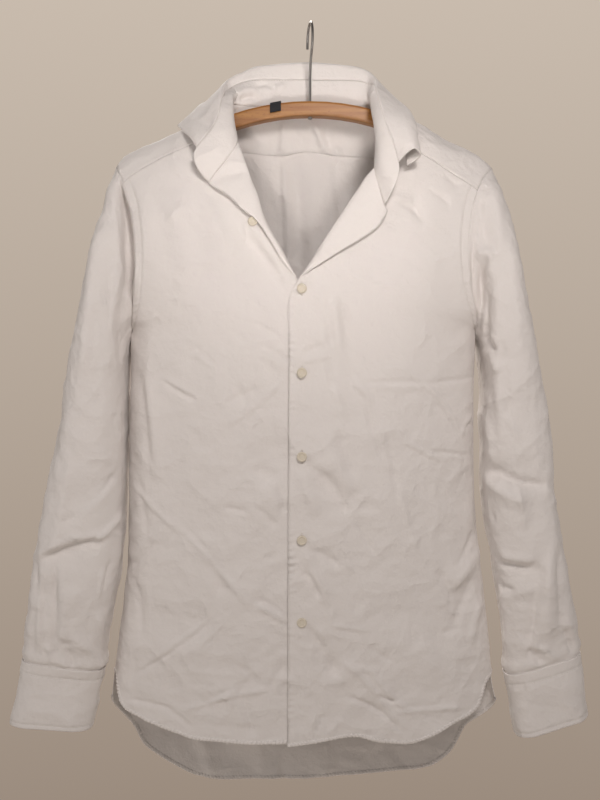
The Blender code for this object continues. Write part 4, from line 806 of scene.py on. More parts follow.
# Floor, surroundings and lights
FLOOR_COLOR = (0.78, 0.73, 0.67)
FLOOR_ROUGHNESS = 0.9
FLOOR_RADIUS = 1.1
FLOOR_Z = -1.35
FLOOR_SIDES = 96
FRONT_LOW = (0.50, 0.448, 0.412)
FRONT_HIGH = (0.11, 0.101, 0.094)
BACKDROP_HIGH = (0.60, 0.515, 0.435)
BACKDROP_LOW = (0.31, 0.245, 0.195)
RISE_RANGE = (-0.42, 0.42)
DEPTH_RANGE = (0.2, 0.8)
Lamp = namedtuple("Lamp", "name place target size power color spread")
LAMPS = [
    Lamp("key", (0.20, -1.06, 0.22), (0.0, 0.0, -0.46), 0.30, 7.0, (1.0, 0.93, 0.89), 180.0),
    Lamp("side", (-1.20, -0.70, -0.30), (-0.20, 0.0, -0.45), 0.60, 2.2, (1.0, 0.95, 0.91), 180.0),
    Lamp("neck_fill", (-0.06, -1.05, -0.78), (0.0, 0.0, -0.11), 0.20, 0.10, (1.0, 0.93, 0.88), 26.0),
    Lamp("behind", (-0.40, 1.50, 1.25), (0.0, 0.0, -0.45), 0.70, 30.0, (1.0, 0.95, 0.91), 180.0),
]


def column(table, name):
    return np.array([getattr(row, name) for row in table], dtype=float)


def blend(start, end, share):
    return start + (end - start) * share


def unit(vectors):
    return vectors / np.linalg.norm(vectors, axis=-1, keepdims=True)


def stacked(x, y, z):
    return np.stack([x, y, z], axis=-1)


def ease_step(value, low, high):
    """0 up to the low value, 1 from the high one, and smooth between them."""
    u = np.clip((value - low) / (high - low), 0.0, 1.0)
    return u * u * (3 - 2 * u)


def hermite(u, span, start, end, leave, arrive):
    """Cubic from start to end over a span, with the slopes that it leaves and arrives at."""
    point = (1 + 2 * u) * (1 - u) ** 2 * start + u * (1 - u) ** 2 * span * leave
    return point + u ** 2 * (3 - 2 * u) * end + u ** 2 * (u - 1) * span * arrive


def eased(knots, values, at):
    """Smooth values between the knots, which never overshoot the table's own."""
    if knots[0] > knots[-1]:
        knots, values = knots[::-1], values[::-1]
    at = np.clip(np.asarray(at, dtype=float), knots[0], knots[-1])
    width = np.diff(knots)
    slope = np.diff(values) / width
    tangent = np.zeros_like(values)
    product = slope[:-1] * slope[1:]
    total = np.where(product > 0, slope[:-1] + slope[1:], 1.0)
    tangent[1:-1] = np.where(product > 0, 2 * product / total, 0.0)
    tangent[0], tangent[-1] = slope[0], slope[-1]
    index = np.clip(np.searchsorted(knots, at, side="right") - 1, 0, len(width) - 1)
    after = index + 1
    u = (at - knots[index]) / width[index]
    return hermite(u, width[index], values[index], values[after], tangent[index], tangent[after])


def looked_up(table, key, name, at):
    """A table's value of one name at a value of another, smooth between its rows."""
    return eased(column(table, key), column(table, name), at)


def summed_lengths(points):
    """Length from the first row of points to each later one, down the columns."""
    steps = np.linalg.norm(np.diff(points, axis=0), axis=-1)
    return np.concatenate([np.zeros((1,) + steps.shape[1:]), np.cumsum(steps, axis=0)])


# The body's surface

def body_level(name, z):
    return looked_up(BODY, "z", name, z)


def body_middle_and_half(z):
    right = body_level("right", z)
    left = body_level("left", z)
    return (left + right) / 2, (left - right) / 2


def shoulder_line(x):
    return looked_up(SHOULDER, "x", "z", x)


def side_falloff(x, z):
    middle, half = body_middle_and_half(z)
    share = np.clip(np.abs((x - middle) / half), 0.0, 1.0)
    return (1 - share ** ROUNDNESS) ** (1 / ROUNDNESS)


def shoulder_falloff(x, z, roundness):
    height = np.clip((z - UNDERARM_Z) / (shoulder_line(x) - UNDERARM_Z), 0.0, 1.0)
    return (1 - height ** roundness) ** (1 / roundness)


def front_y(x, z):
    depth = body_level("front", z) * side_falloff(x, z)
    return -depth * shoulder_falloff(x, z, FRONT_SHOULDER_ROUNDNESS)


def back_y(x, z):
    depth = body_level("back", z) * side_falloff(x, z)
    return depth * shoulder_falloff(x, z, BACK_SHOULDER_ROUNDNESS)


def wave_height(waves, x, z):
    """How far the cloth stands out at a place because of its largest folds."""
    total = np.zeros(np.broadcast(x, z).shape)
    for wave in waves:
        run_x = wave.to_x - wave.from_x
        run_z = wave.to_z - wave.from_z
        length = math.hypot(run_x, run_z)
        part = ((x - wave.from_x) * run_x + (z - wave.from_z) * run_z) / length ** 2
        off = ((x - wave.from_x) * run_z - (z - wave.from_z) * run_x) / length
        fade = ease_step(part, 0, WAVE_FADE) * (1 - ease_step(part, 1 - WAVE_FADE, 1))
        total = total + wave.height * np.exp(-(off / wave.half_width) ** 2) * fade
    return total


def back_surface(x, z):
    return back_y(x, z) + wave_height(BACK_WAVES, x, z)


def shoulder_z(x, y):
    """Height of the shoulder cloth over a point in plan."""
    top = shoulder_line(x)
    in_front = y < 0
    depth = np.where(in_front, BODY[0].front, BODY[0].back) * side_falloff(x, top)
    roundness = np.where(in_front, FRONT_SHOULDER_ROUNDNESS, BACK_SHOULDER_ROUNDNESS)
    share = np.clip(np.abs(y) / np.maximum(depth, THIN), 0.0, RIM_SHARE)
    return UNDERARM_Z + (top - UNDERARM_Z) * (1 - share ** roundness) ** (1 / roundness)


def armhole_x(side, z):
    return looked_up(ARMHOLE, "z", side, z)


def armhole_ring(side, turn):
    """Armhole seam: turn 0 at the shoulder, a quarter in front, a half at the underarm."""
    end_z = SHOULDER_END[side][1]
    z = (end_z + UNDERARM_Z) / 2 + (end_z - UNDERARM_Z) / 2 * np.cos(turn)
    x = armhole_x(side, z)
    return stacked(x, np.where(np.sin(turn) > 0, front_y(x, z), back_y(x, z)), z)


# The neck seam and the collar's surface

def collar_value(name, row):
    table = COLLAR if name in Collar._fields else LEAF
    return eased(np.arange(len(table)), column(table, name), row)


def collar_spot(prefix, row):
    return stacked(*[collar_value(prefix + name, row) for name in ("x", "y", "z")])


def neck_seam(row):
    return collar_spot("", row)


SEAM_ROWS = np.linspace(0, len(COLLAR) - 1, SEAM_SAMPLES)
SEAM_LENGTHS = summed_lengths(neck_seam(SEAM_ROWS))


def rows_between(inset, count):
    """Rows of the collar table at even lengths, from a distance off each end."""
    lengths = np.linspace(inset, SEAM_LENGTHS[-1] - inset, count + 1)
    return np.interp(lengths, SEAM_LENGTHS, SEAM_ROWS)


def smooth_path(knots, count):
    """Points at even lengths on a smooth curve through knots: arrays of (places, 3)."""
    knots = np.array(knots)
    chords = np.linalg.norm(np.diff(knots, axis=0), axis=-1, keepdims=True)
    slopes = np.diff(knots, axis=0) / chords
    tangents = np.empty_like(knots)
    weight = chords[:-1] / (chords[:-1] + chords[1:])
    tangents[1:-1] = slopes[:-1] * (1 - weight) + slopes[1:] * weight
    tangents[0] = slopes[0] * 1.5 - tangents[1] * 0.5
    tangents[-1] = slopes[-1] * 1.5 - tangents[-2] * 0.5
    dense = [knots[0]]
    for first, chord in enumerate(chords):
        ends = (knots[first], knots[first + 1], tangents[first], tangents[first + 1])
        for u in np.linspace(0, 1, PATH_SAMPLES + 1)[1:]:
            dense.append(hermite(u, chord, *ends))
    dense = np.array(dense)
    lengths = summed_lengths(dense)
    path = np.empty((count + 1,) + dense.shape[1:])
    for place in range(dense.shape[1]):
        wanted = np.linspace(0, lengths[-1, place], count + 1)
        for axis in range(3):
            path[:, place, axis] = np.interp(wanted, lengths[:, place], dense[:, place, axis])
    return path


def collar_knots(row):
    """Six points across the collar: seam, bow, crest, roll top, roll side and edge."""
    seam = neck_seam(row)
    crest = collar_spot("crest_", row)
    top = collar_spot("top_", row)
    edge = collar_spot("edge_", row)
    along = unit(neck_seam(row + ROW_NUDGE) - neck_seam(row - ROW_NUDGE))
    inward = unit(np.cross(along, crest - seam))
    bowed = (seam + crest) / 2 + inward * collar_value("bow", row)[..., None]
    level = np.array([1.0, 1.0, 0.0])
    out = unit(unit((top - seam) * level) + unit((edge - crest) * level))
    side = blend(top, edge, ROLL_SIDE) + out * collar_value("roll", row)[..., None]
    return [seam, bowed, crest, top, side, edge]


def stand_rows(lengthwise, crosswise):
    """Stand, whose ends are rounded: each row starts further in, the higher it is."""
    rows = []
    for part in np.linspace(0, 1, crosswise + 1):
        places = rows_between(STAND_END_ROUND * (1 - math.sqrt(1 - part ** 2)), lengthwise)
        path = smooth_path(collar_knots(places)[:3], STAND_PATH_STEPS)
        wanted = part * STAND_PATH_STEPS
        low = min(int(wanted), STAND_PATH_STEPS - 1)
        rows.append(blend(path[low], path[low + 1], wanted - low))
    return np.array(rows)


def leaf_rows(lengthwise, crosswise):
    """Leaf, whose points spread further along the seam than its sewn edge."""
    rows = []
    for number in range(crosswise + 1):
        places = rows_between(STAND_END_ROUND - POINT_SPREAD * number / crosswise, lengthwise)
        path = smooth_path(collar_knots(places)[2:], crosswise * LEAF_PATH_STEPS)
        rows.append(path[number * LEAF_PATH_STEPS])
    return np.array(rows)


# The panels

def front_surface(side, x, z):
    lift = OVERLAP_LIFT * (1 - ease_step(x, *OVERLAP_FADE)) if side == "left" else 0.0
    return front_y(x, z) - lift - wave_height(FRONT_WAVES, x, z)


def front_row(side, fold, part):
    """Points from the open edge to the armhole."""
    z = blend(fold.z, fold.side_z, part)
    middle, half = body_middle_and_half(z)
    outer = armhole_x(side, fold.side_z)
    start = np.arcsin(np.clip((fold.x - middle[0]) / half[0], -1, 1))
    end = np.arcsin(np.clip((outer - middle[-1]) / half[-1], -1, 1))
    x = middle + half * np.sin(blend(start, end, part))
    return stacked(x, front_surface(side, x, z), z)


def front_panel(side, columns, lower_rows):
    """Front from its yoke seam down: rows at the folds' levels, then rows below the armhole."""
    folds = FOLDS[side]
    part = np.linspace(0, 1, columns + 1)
    rows = [yoke_front_edge(side, part)]
    for fold in folds[1:]:
        row = front_row(side, fold, part)
        if fold.seam is not None and fold.edge_x is None:
            pull = neck_seam(fold.seam) - row[0]
            row = row + pull * (1 - part)[:, None] ** NECK_PULL_POWER
        rows.append(row)
    hem = looked_up(HEM, "across", "front_" + side, part)
    for share in np.linspace(0, 1, lower_rows + 1)[1:]:
        z = blend(UNDERARM_Z, hem, share)
        middle, half = body_middle_and_half(z)
        inner = blend(folds[-1].x, CLOSING_EDGE_X[side], share)
        start = np.arcsin((inner - middle) / half)
        x = middle + half * np.sin(blend(start, SIDE_SIGN[side] * math.pi / 2, part))
        rows.append(stacked(x, front_surface(side, x, z), z))
    return np.array(rows)


def turned_out(side):
    """Numbers of the fold rows just before and just after the turned-out part."""
    numbers = [number for number, fold in enumerate(FOLDS[side]) if fold.edge_x is not None]
    return numbers[0] - 1, numbers[-1] + 1


def lapel(side, panel, columns):
    """Turned-out part of a front, from its fold to its free edge or the neck seam."""
    before, after = turned_out(side)
    rows = []
    for number in range(before, after + 1):
        fold = FOLDS[side][number]
        start = panel[number][0]
        if fold.edge_x is None:
            rows.append(np.repeat(start[None, :], columns + 1, axis=0))
            continue
        if fold.seam is not None:
            end = neck_seam(fold.seam)
        else:
            edge_y = front_surface(side, fold.edge_x, fold.edge_z) - fold.stand_off
            end = np.array([fold.edge_x, float(edge_y), fold.edge_z])
        share = np.linspace(0, 1, columns + 1) ** LAPEL_CROWDING
        x = blend(start[0], end[0], share ** LAPEL_SWEEP)
        z = blend(start[2], end[2], share ** LAPEL_SWEEP)
        surface = front_surface(side, x, z)
        rise = 1 - (1 - share) ** LAPEL_LIFT_POWER
        lift = blend(surface[0] - start[1], surface[-1] - end[1], rise)
        rows.append(stacked(x, surface - lift, z))
    return np.array(rows)


def back_seam_z(x):
    return looked_up(BACK_SEAM, "x", "z", x)


def armhole_meeting(side, share, x):
    """Where the armhole meets a row, by its share of the way from back seam to underarm."""
    for _ in range(SETTLING_STEPS):
        z = float(blend(back_seam_z(x), UNDERARM_Z, share))
        x = float(armhole_x(side, z))
    return x, z


def back_seam_end(side):
    """Where the back yoke seam meets the armhole."""
    return armhole_meeting(side, 0.0, SHOULDER_END[side][0])


def back_panel(columns, upper_rows, lower_rows):
    """Back from the yoke seam down: rows between the armholes, then rows below them."""
    part = np.linspace(-1, 1, columns + 1)
    rows = []
    for share in np.linspace(0, 1, upper_rows + 1):
        right_x, right_z = armhole_meeting("right", share, back_seam_end("right")[0])
        left_x, left_z = armhole_meeting("left", share, back_seam_end("left")[0])
        middle, half = body_middle_and_half(np.where(part < 0, right_z, left_z))
        start = math.asin(max((right_x - middle[0]) / half[0], -1.0))
        end = math.asin(min((left_x - middle[-1]) / half[-1], 1.0))
        x = middle + half * np.sin(blend(start, end, (part + 1) / 2))
        z = blend(back_seam_z(x), UNDERARM_Z, share)
        rows.append(stacked(x, back_surface(x, z), z))
    right_hem = looked_up(HEM, "across", "back_right", np.abs(part))
    left_hem = looked_up(HEM, "across", "back_left", np.abs(part))
    hem = np.where(part < 0, right_hem, left_hem)
    for share in np.linspace(0, 1, lower_rows + 1)[1:]:
        z = blend(UNDERARM_Z, hem, share)
        middle, half = body_middle_and_half(z)
        x = middle + half * np.sin(part * math.pi / 2)
        rows.append(stacked(x, back_surface(x, z), z))
    return np.array(rows)


def armhole_turn_at(side, z):
    end_z = SHOULDER_END[side][1]
    return math.acos((z - (end_z + UNDERARM_Z) / 2) / ((end_z - UNDERARM_Z) / 2))


def yoke_arm(side):
    """Ray ends over one shoulder, from the front seam to the back seam."""
    front_turn = armhole_turn_at(side, FOLDS[side][0].side_z)
    back_turn = -armhole_turn_at(side, back_seam_end(side)[1])
    ring = armhole_ring(side, np.linspace(front_turn, back_turn, YOKE_ARM_RAYS + 1))
    return ring, np.linspace(*YOKE_NECK_ROWS[side], YOKE_ARM_RAYS + 1)


def yoke_rays(outer, rows, part):
    """Points from the neck seam to the yoke's outline, by their share of the way."""
    inner = neck_seam(rows)
    part = np.asarray(part)[:, None]
    x = blend(inner[:, 0], outer[:, 0], part)
    y = blend(inner[:, 1], outer[:, 1], part)
    bow = np.where(outer[:, 0] < 0, YOKE_FRONT_BOW["right"], YOKE_FRONT_BOW["left"])
    y = y - bow * ease_step(-outer[:, 1], 0, YOKE_BOW_DEPTH) * 4 * part * (1 - part)
    z = shoulder_z(x, y)
    z = z + (inner[:, 2] - z[0]) * (1 - part) ** 2
    z = z + (outer[:, 2] - z[-1]) * part ** 2
    return stacked(x, y, z)


def yoke_front_edge(side, part):
    ring, rows = yoke_arm(side)
    return yoke_rays(ring[:1], rows[:1], part)[:, 0]


def yoke_panel(back_rays, along):
    """Yoke in rays from the neck seam: over the right shoulder, the back and the left one."""
    right, right_rows = yoke_arm("right")
    left, left_rows = yoke_arm("left")
    x = np.linspace(right[-1][0], left[-1][0], back_rays + 1)[1:-1]
    z = back_seam_z(x)
    middle_rows = np.linspace(right_rows[-1], left_rows[-1], back_rays + 1)[1:-1]
    outer = np.concatenate([right, stacked(x, back_y(x, z), z), left[::-1]])
    rows = np.concatenate([right_rows, middle_rows, left_rows[::-1]])
    return yoke_rays(outer, rows, np.linspace(0, 1, along + 1))


def sleeve_ring(table, row, turn):
    """Ring at a place along a sleeve: turn 0 at its outer edge, a quarter in front."""
    knots = np.arange(len(table))
    here = Sleeve(*[eased(knots, column(table, name), row) for name in Sleeve._fields])
    side = np.sign(np.cos(turn)) * np.abs(np.cos(turn)) ** (2 / SLEEVE_ROUNDNESS)
    front = np.sign(np.sin(turn)) * np.abs(np.sin(turn)) ** (2 / SLEEVE_ROUNDNESS)
    x = (here.outer_x + here.inner_x) / 2 + (here.outer_x - here.inner_x) / 2 * side
    z = (here.outer_z + here.inner_z) / 2 + (here.outer_z - here.inner_z) / 2 * side
    return stacked(x, here.middle_y - here.half_depth * front, z)


def sleeve_tube(side, around, rows):
    """Sleeve in rings, whose first is the armhole seam, with its largest folds."""
    table = SLEEVES[side]
    turn = np.linspace(0, 2 * math.pi, around, endpoint=False)
    head = armhole_ring(side, turn) - sleeve_ring(table, 0, turn)
    before = ease_step(np.sin(turn), *FACING_FADE)
    behind = ease_step(-np.sin(turn), *FACING_FADE)
    rings = []
    for row in np.linspace(0, len(table) - 1, rows + 1):
        ring = sleeve_ring(table, row, turn) + head * max(1 - row / SLEEVE_HEAD_ROWS, 0) ** 2
        x, z = ring[:, 0], ring[:, 2]
        in_front = wave_height(SLEEVE_WAVES[side], x, z) * before
        ring[:, 1] += wave_height(SLEEVE_WAVES["behind"], x, z) * behind - in_front
        rings.append(ring)
    return np.array(rings)


def cuff_band(side, around, rows):
    """Band with its ends lapped at the back, the outer end lifted off the inner one."""
    table = CUFFS[side]
    part = np.linspace(0, 1, around + 1)
    length = math.radians(360 + CUFF_LAP_DEGREES)
    turn = math.radians(CUFF_START_DEGREES - CUFF_LAP_DEGREES / 2) + length * part
    lap = math.radians(CUFF_LAP_DEGREES) / length
    lift = CUFF_LAP_LIFT * ease_step(part, 1 - CUFF_RISE_LAPS * lap, 1 - lap)
    bands = []
    for row in np.linspace(0, 1, rows + 1):
        ring = sleeve_ring(table, row, turn)
        middle = (sleeve_ring(table, row, 0.0) + sleeve_ring(table, row, math.pi)) / 2
        bands.append(ring + unit(ring - middle) * lift[:, None])
    return np.array(bands)


# Grids

def curve_through(knots, values, at):
    """Values between the knots, on smooth curves through all of them."""
    width = np.diff(knots)[:, None, None]
    slope = np.diff(values, axis=0) / width
    tangent = np.empty_like(values)
    weight = width[:-1] / (width[:-1] + width[1:])
    tangent[1:-1] = slope[:-1] * (1 - weight) + slope[1:] * weight
    tangent[0], tangent[-1] = slope[0], slope[-1]
    index = np.clip(np.searchsorted(knots, at, side="right") - 1, 0, len(knots) - 2)
    after = index + 1
    u = (at - knots[index])[:, None, None] / width[index]
    return hermite(u, width[index], values[index], values[after], tangent[index], tangent[after])


def grid_normals(grid, closed, toward):
    """Unit normals of a grid of points, turned to the side of a direction or off an axis."""
    if closed:
        across = np.roll(grid, -1, axis=1) - np.roll(grid, 1, axis=1)
    else:
        across = np.gradient(grid, axis=1)
    normals = np.cross(across, np.gradient(grid, axis=0))
    normals = normals / np.maximum(np.linalg.norm(normals, axis=-1, keepdims=True), TINY)
    if toward is None:
        toward = grid - grid.mean(axis=1, keepdims=True)
    return normals * np.sign((normals * toward).sum())


def raised(grid, normals, height):
    return grid + normals * height[..., None]


def from_edge(grid, edge):
    """The grid turned so that the named edge is its first row."""
    if edge in ("first", "last"):
        grid = np.swapaxes(grid, 0, 1)
    return grid[::-1] if edge in ("bottom", "last") else grid


def back_from_edge(grid, edge):
    """A grid that from_edge has turned, turned back."""
    if edge in ("bottom", "last"):
        grid = grid[::-1]
    return np.swapaxes(grid, 0, 1) if edge in ("first", "last") else grid


def distance_from(grid, edge):
    """Length along the surface from an edge to each point."""
    return back_from_edge(summed_lengths(from_edge(grid, edge)), edge)


def length_along(grid, edge):
    """Length along an edge at each point's column or row."""
    turned = from_edge(grid, edge)
    lengths = np.broadcast_to(summed_lengths(turned[0]), turned.shape[:2])
    return back_from_edge(lengths, edge)


def edge_fade(grid, edges, reach):
    """1 inside a grid, falling to 0 over some rows or columns at the edges that are sewn."""
    fade = np.ones(grid.shape[:2])
    for edge in edges:
        inward = from_edge(fade, edge)
        inward *= ease_step(np.arange(len(inward)), 0, reach)[:, None]
    return fade


# Creases and crumple

def smooth_noise(points, cell, seed):
    """Soft random heights from -1 to 1, with about one swell in each cell."""
    lattice = np.random.default_rng(seed).uniform(-1, 1, (LATTICE, LATTICE, LATTICE))
    spot = points / cell + LATTICE_OFFSET
    base = np.floor(spot).astype(int)
    u = spot - base
    u = u * u * u * (u * (u * 6 - 15) + 10)
    total = np.zeros(points.shape[:-1])
    for corner in range(8):
        step = np.array([corner & 1, corner >> 1 & 1, corner >> 2 & 1])
        index = (base + step) % LATTICE
        weight = np.where(step == 1, u, 1 - u).prod(axis=-1)
        total += weight * lattice[index[..., 0], index[..., 1], index[..., 2]]
    return total


def facets(points, cell, seed):
    """Heights of crumpled cloth: flat facets that meet in soft ridges and troughs."""
    shift = [smooth_noise(points, cell * BEND_CELL, seed + 50 + axis) for axis in range(3)]
    bent = points + cell * BEND_REACH * np.stack(shift, axis=-1)
    large = np.sqrt(smooth_noise(bent, cell, seed) ** 2 + LARGE_FACET_EDGE)
    small = np.sqrt(smooth_noise(bent, cell * SMALL_FACET_CELL, seed + 7) ** 2 + SMALL_FACET_EDGE)
    return FACET_LEVEL - large * LARGE_FACET_HEIGHT - small * SMALL_FACET_HEIGHT


def crumpled(points, layers, seed=0):
    return sum(facets(points, layer.cell, seed + layer.seed) * layer.height for layer in layers)


def swell_height(points, swell, seed=0):
    return smooth_noise(points, swell.cell, seed + swell.seed) * swell.height


def crumple_field(points, seed, strength):
    """Small uneven crumple all over a piece."""
    return (crumpled(points, CRUMPLES, seed) + swell_height(points, BROAD_SWELL, seed)) * strength


def lower_share(points):
    """Strength of the crumple, more below than above."""
    return UPPER_CRUMPLE + MORE_BELOW * ease_step(-points[..., 2], *CRUMPLE_LEVELS)


def in_picture(points):
    """Pixel coordinates at which the camera sees points."""
    away = (points[..., 1] - CAMERA[1]) / FOCAL_PIXELS
    px = PICTURE_SIZE[0] / 2 + (points[..., 0] - CAMERA[0]) / away
    py = PICTURE_SIZE[1] / 2 - (points[..., 2] - CAMERA[2]) / away
    return px, py


def crease_height(px, py, crease):
    """A crease bows to one side, is steeper on one side and dies out at its ends."""
    run = np.array([crease.to_px - crease.from_px, crease.to_py - crease.from_py], dtype=float)
    length = math.hypot(*run)
    along = run / length
    part = ((px - crease.from_px) * along[0] + (py - crease.from_py) * along[1]) / length
    off = (px - crease.from_px) * along[1] - (py - crease.from_py) * along[0]
    held = np.clip(part, 0, 1)
    off = off - crease.bow * 4 * held * (1 - held)
    width = crease.width * np.where(off > 0, 1 + crease.skew, 1 - crease.skew)
    fade = ease_step(part, *CREASE_START) * (1 - ease_step(part, *CREASE_END))
    height = math.copysign(abs(crease.height) ** CREASE_POWER, crease.height)
    return CREASE_STRENGTH * height * np.exp(-(off / width) ** 2) * fade


def creased(points, table):
    px, py = in_picture(points)
    return sum(crease_height(px, py, crease) for crease in table)


# Materials

def feed(tree, socket, value):
    """Give a socket a number, a colour or the output of another node."""
    if isinstance(value, float):
        socket.default_value = value
    elif isinstance(value, tuple):
        socket.default_value = (*value, 1.0)
    else:
        tree.links.new(value, socket)


def new_material(name, color, roughness, metallic=0.0):
    material = bpy.data.materials.new(name)
    material.use_nodes = True
    shader = material.node_tree.nodes["Principled BSDF"]
    shader.inputs["Base Color"].default_value = (*color, 1.0)
    shader.inputs["Roughness"].default_value = roughness
    shader.inputs["Metallic"].default_value = metallic
    material.diffuse_color = (*color, 1.0)
    return material, material.node_tree, shader


def object_place(tree):
    return tree.nodes.new("ShaderNodeTexCoord").outputs["Object"]


def stretched(tree, place, scale):
    mapping = tree.nodes.new("ShaderNodeMapping")
    mapping.inputs["Scale"].default_value = scale
    tree.links.new(place, mapping.inputs["Vector"])
    return mapping.outputs[0]


def noise_texture(tree, place, settings, kind="FBM"):
    noise = tree.nodes.new("ShaderNodeTexNoise")
    noise.noise_type = kind
    for name, value in settings.items():
        noise.inputs[name].default_value = value
    tree.links.new(place, noise.inputs["Vector"])
    return noise.outputs[0]


def math_node(tree, operation, *values):
    node = tree.nodes.new("ShaderNodeMath")
    node.operation = operation
    for socket, value in zip(node.inputs, values):
        feed(tree, socket, value)
    return node.outputs[0]


def mesh_value(tree, name):
    node = tree.nodes.new("ShaderNodeAttribute")
    node.attribute_name = name
    return node.outputs["Fac"]


def color_ramp(tree, share, stops):
    ramp = tree.nodes.new("ShaderNodeValToRGB")
    for element, (position, color) in zip(ramp.color_ramp.elements, stops):
        element.position = position
        element.color = (*color, 1.0)
    tree.links.new(share, ramp.inputs[0])
    return ramp.outputs[0]


def mixed_color(tree, share, first, second, kind="MIX"):
    """Output that runs from the first colour to the second by a share, or multiplies them."""
    node = tree.nodes.new("ShaderNodeMix")
    node.data_type = "RGBA"
    node.blend_type = kind
    for number, value in ((0, share), (6, first), (7, second)):
        feed(tree, node.inputs[number], value)
    return node.outputs[2]


def add_bump(tree, shader, height, depth):
    bump = tree.nodes.new("ShaderNodeBump")
    bump.inputs["Distance"].default_value = depth
    tree.links.new(height, bump.inputs["Height"])
    tree.links.new(bump.outputs["Normal"], shader.inputs["Normal"])


def cotton_material():
    """White cotton: fine wrinkles, weave, seam lines and puckers beside the seams."""
    material, tree, shader = new_material("white_cotton", COTTON_COLOR, COTTON_ROUGHNESS)
    shader.inputs["Sheen Weight"].default_value = COTTON_SHEEN
    place = object_place(tree)
    wrinkles = math_node(tree, "MULTIPLY", noise_texture(tree, place, WRINKLES), WRINKLE_DEPTH)
    weave = math_node(tree, "MULTIPLY", noise_texture(tree, place, WEAVE), WEAVE_DEPTH)
    sharp = noise_texture(tree, place, SHARP_CREASES, "RIDGED_MULTIFRACTAL")
    sharp = math_node(tree, "MULTIPLY", sharp, SHARP_CREASE_DEPTH)
    pucker = math_node(tree, "SINE", mesh_value(tree, "phase"))
    pucker = math_node(tree, "MULTIPLY", pucker, mesh_value(tree, "pucker"))
    groove = math_node(tree, "MULTIPLY", mesh_value(tree, "seam"), SEAM_DEPTH)
    height = wrinkles
    for layer in (weave, sharp, pucker):
        height = math_node(tree, "ADD", height, layer)
    height = math_node(tree, "SUBTRACT", height, groove)
    add_bump(tree, shader, height, 1.0)
    return material


def wood_material():
    """Light wood with long grain and short dark flecks, both along the bar."""
    material, tree, shader = new_material("beech", WOOD_COLOR, WOOD_ROUGHNESS)
    place = object_place(tree)
    grain = noise_texture(tree, stretched(tree, place, GRAIN_STRETCH), GRAIN)
    flecks = noise_texture(tree, stretched(tree, place, FLECK_STRETCH), FLECKS)
    tone = color_ramp(tree, grain, WOOD_STOPS)
    dark = color_ramp(tree, flecks, FLECK_STOPS)
    tree.links.new(mixed_color(tree, 1.0, tone, dark, "MULTIPLY"), shader.inputs["Base Color"])
    add_bump(tree, shader, grain, GRAIN_DEPTH)
    return material


def plain_material(finish):
    material, tree, shader = new_material(*finish[:4])
    uneven = noise_texture(tree, object_place(tree), {"Scale": finish.scale, "Detail": 3.0})
    add_bump(tree, shader, uneven, finish.depth)
    return material


# Shells

def add_object(name, data):
    thing = bpy.data.objects.new(name, data)
    bpy.context.scene.collection.objects.link(thing)
    return thing


def add_piece(name, mesh, material):
    thing = add_object(name, mesh)
    mesh.materials.append(material)
    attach(thing, "root")
    return thing


def shell_mesh(name, patches, closed):
    """Mesh of quads from grids of points."""
    points = []
    faces = []
    for grid in patches:
        rows, columns = grid.shape[:2]
        index = np.arange(rows * columns).reshape(rows, columns) + len(points)
        points.extend(map(tuple, grid.reshape(-1, 3)))
        following = np.roll(index, -1, axis=1)
        last = columns if closed else columns - 1
        quads = np.stack([index[:-1], index[1:], following[1:], following[:-1]], axis=-1)
        faces.extend(map(tuple, quads[:, :last].reshape(-1, 4).tolist()))
    mesh = bpy.data.meshes.new(name)
    mesh.from_pydata(points, [], faces)
    return mesh


def weld_seam(mesh):
    work = bmesh.new()
    work.from_mesh(mesh)
    bmesh.ops.remove_doubles(work, verts=work.verts, dist=WELD_DISTANCE)
    bmesh.ops.recalc_face_normals(work, faces=work.faces)
    work.to_mesh(mesh)
    work.free()


def add_marks(mesh, marks):
    """Values at each point that the cotton reads, from one set of grids for each patch."""
    for label in MARKS:
        values = np.concatenate([grids[label].ravel() for grids in marks])
        layer = mesh.attributes.new(label, "FLOAT", "POINT")
        layer.data.foreach_set("value", values.astype(np.float32))


def add_shell(name, node, patches, thickness, material, marks=(), closed=False):
    """Thin wall of cloth that takes the place of a CAD node."""
    mesh = shell_mesh(name, patches, closed)
    if marks:
        add_marks(mesh, marks)
    if len(patches) > 1:
        weld_seam(mesh)
    mesh.shade_smooth()
    thing = add_piece(name, mesh, material)
    wall = thing.modifiers.new("Wall", "SOLIDIFY")
    wall.thickness = thickness
    wall.offset = 0.0
    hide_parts(node)
    return thing


# Sewing

def inset_path(grid, normals, edge, distance):
    """Points on the surface at a distance in from one edge, with their normals."""
    grid = from_edge(grid, edge)
    normals = from_edge(normals, edge)
    lengths = summed_lengths(grid)
    rows = np.arange(len(grid))
    number = np.arange(grid.shape[1])
    places = np.array([np.interp(distance, lengths[:, n], rows) for n in number])
    low = np.minimum(places.astype(int), len(grid) - 2)
    share = (places - low)[:, None]
    spots = blend(grid[low, number], grid[low + 1, number], share)
    return spots, unit(blend(normals[low, number], normals[low + 1, number], share))


def even_path(points, normals, spacing):
    """A path's points and normals at even lengths."""
    lengths = summed_lengths(points)
    at = np.linspace(0, lengths[-1], max(int(lengths[-1] / spacing), 2) + 1)
    spots = stacked(*[np.interp(at, lengths, points[:, axis]) for axis in range(3)])
    turned = stacked(*[np.interp(at, lengths, normals[:, axis]) for axis in range(3)])
    return spots, unit(turned)


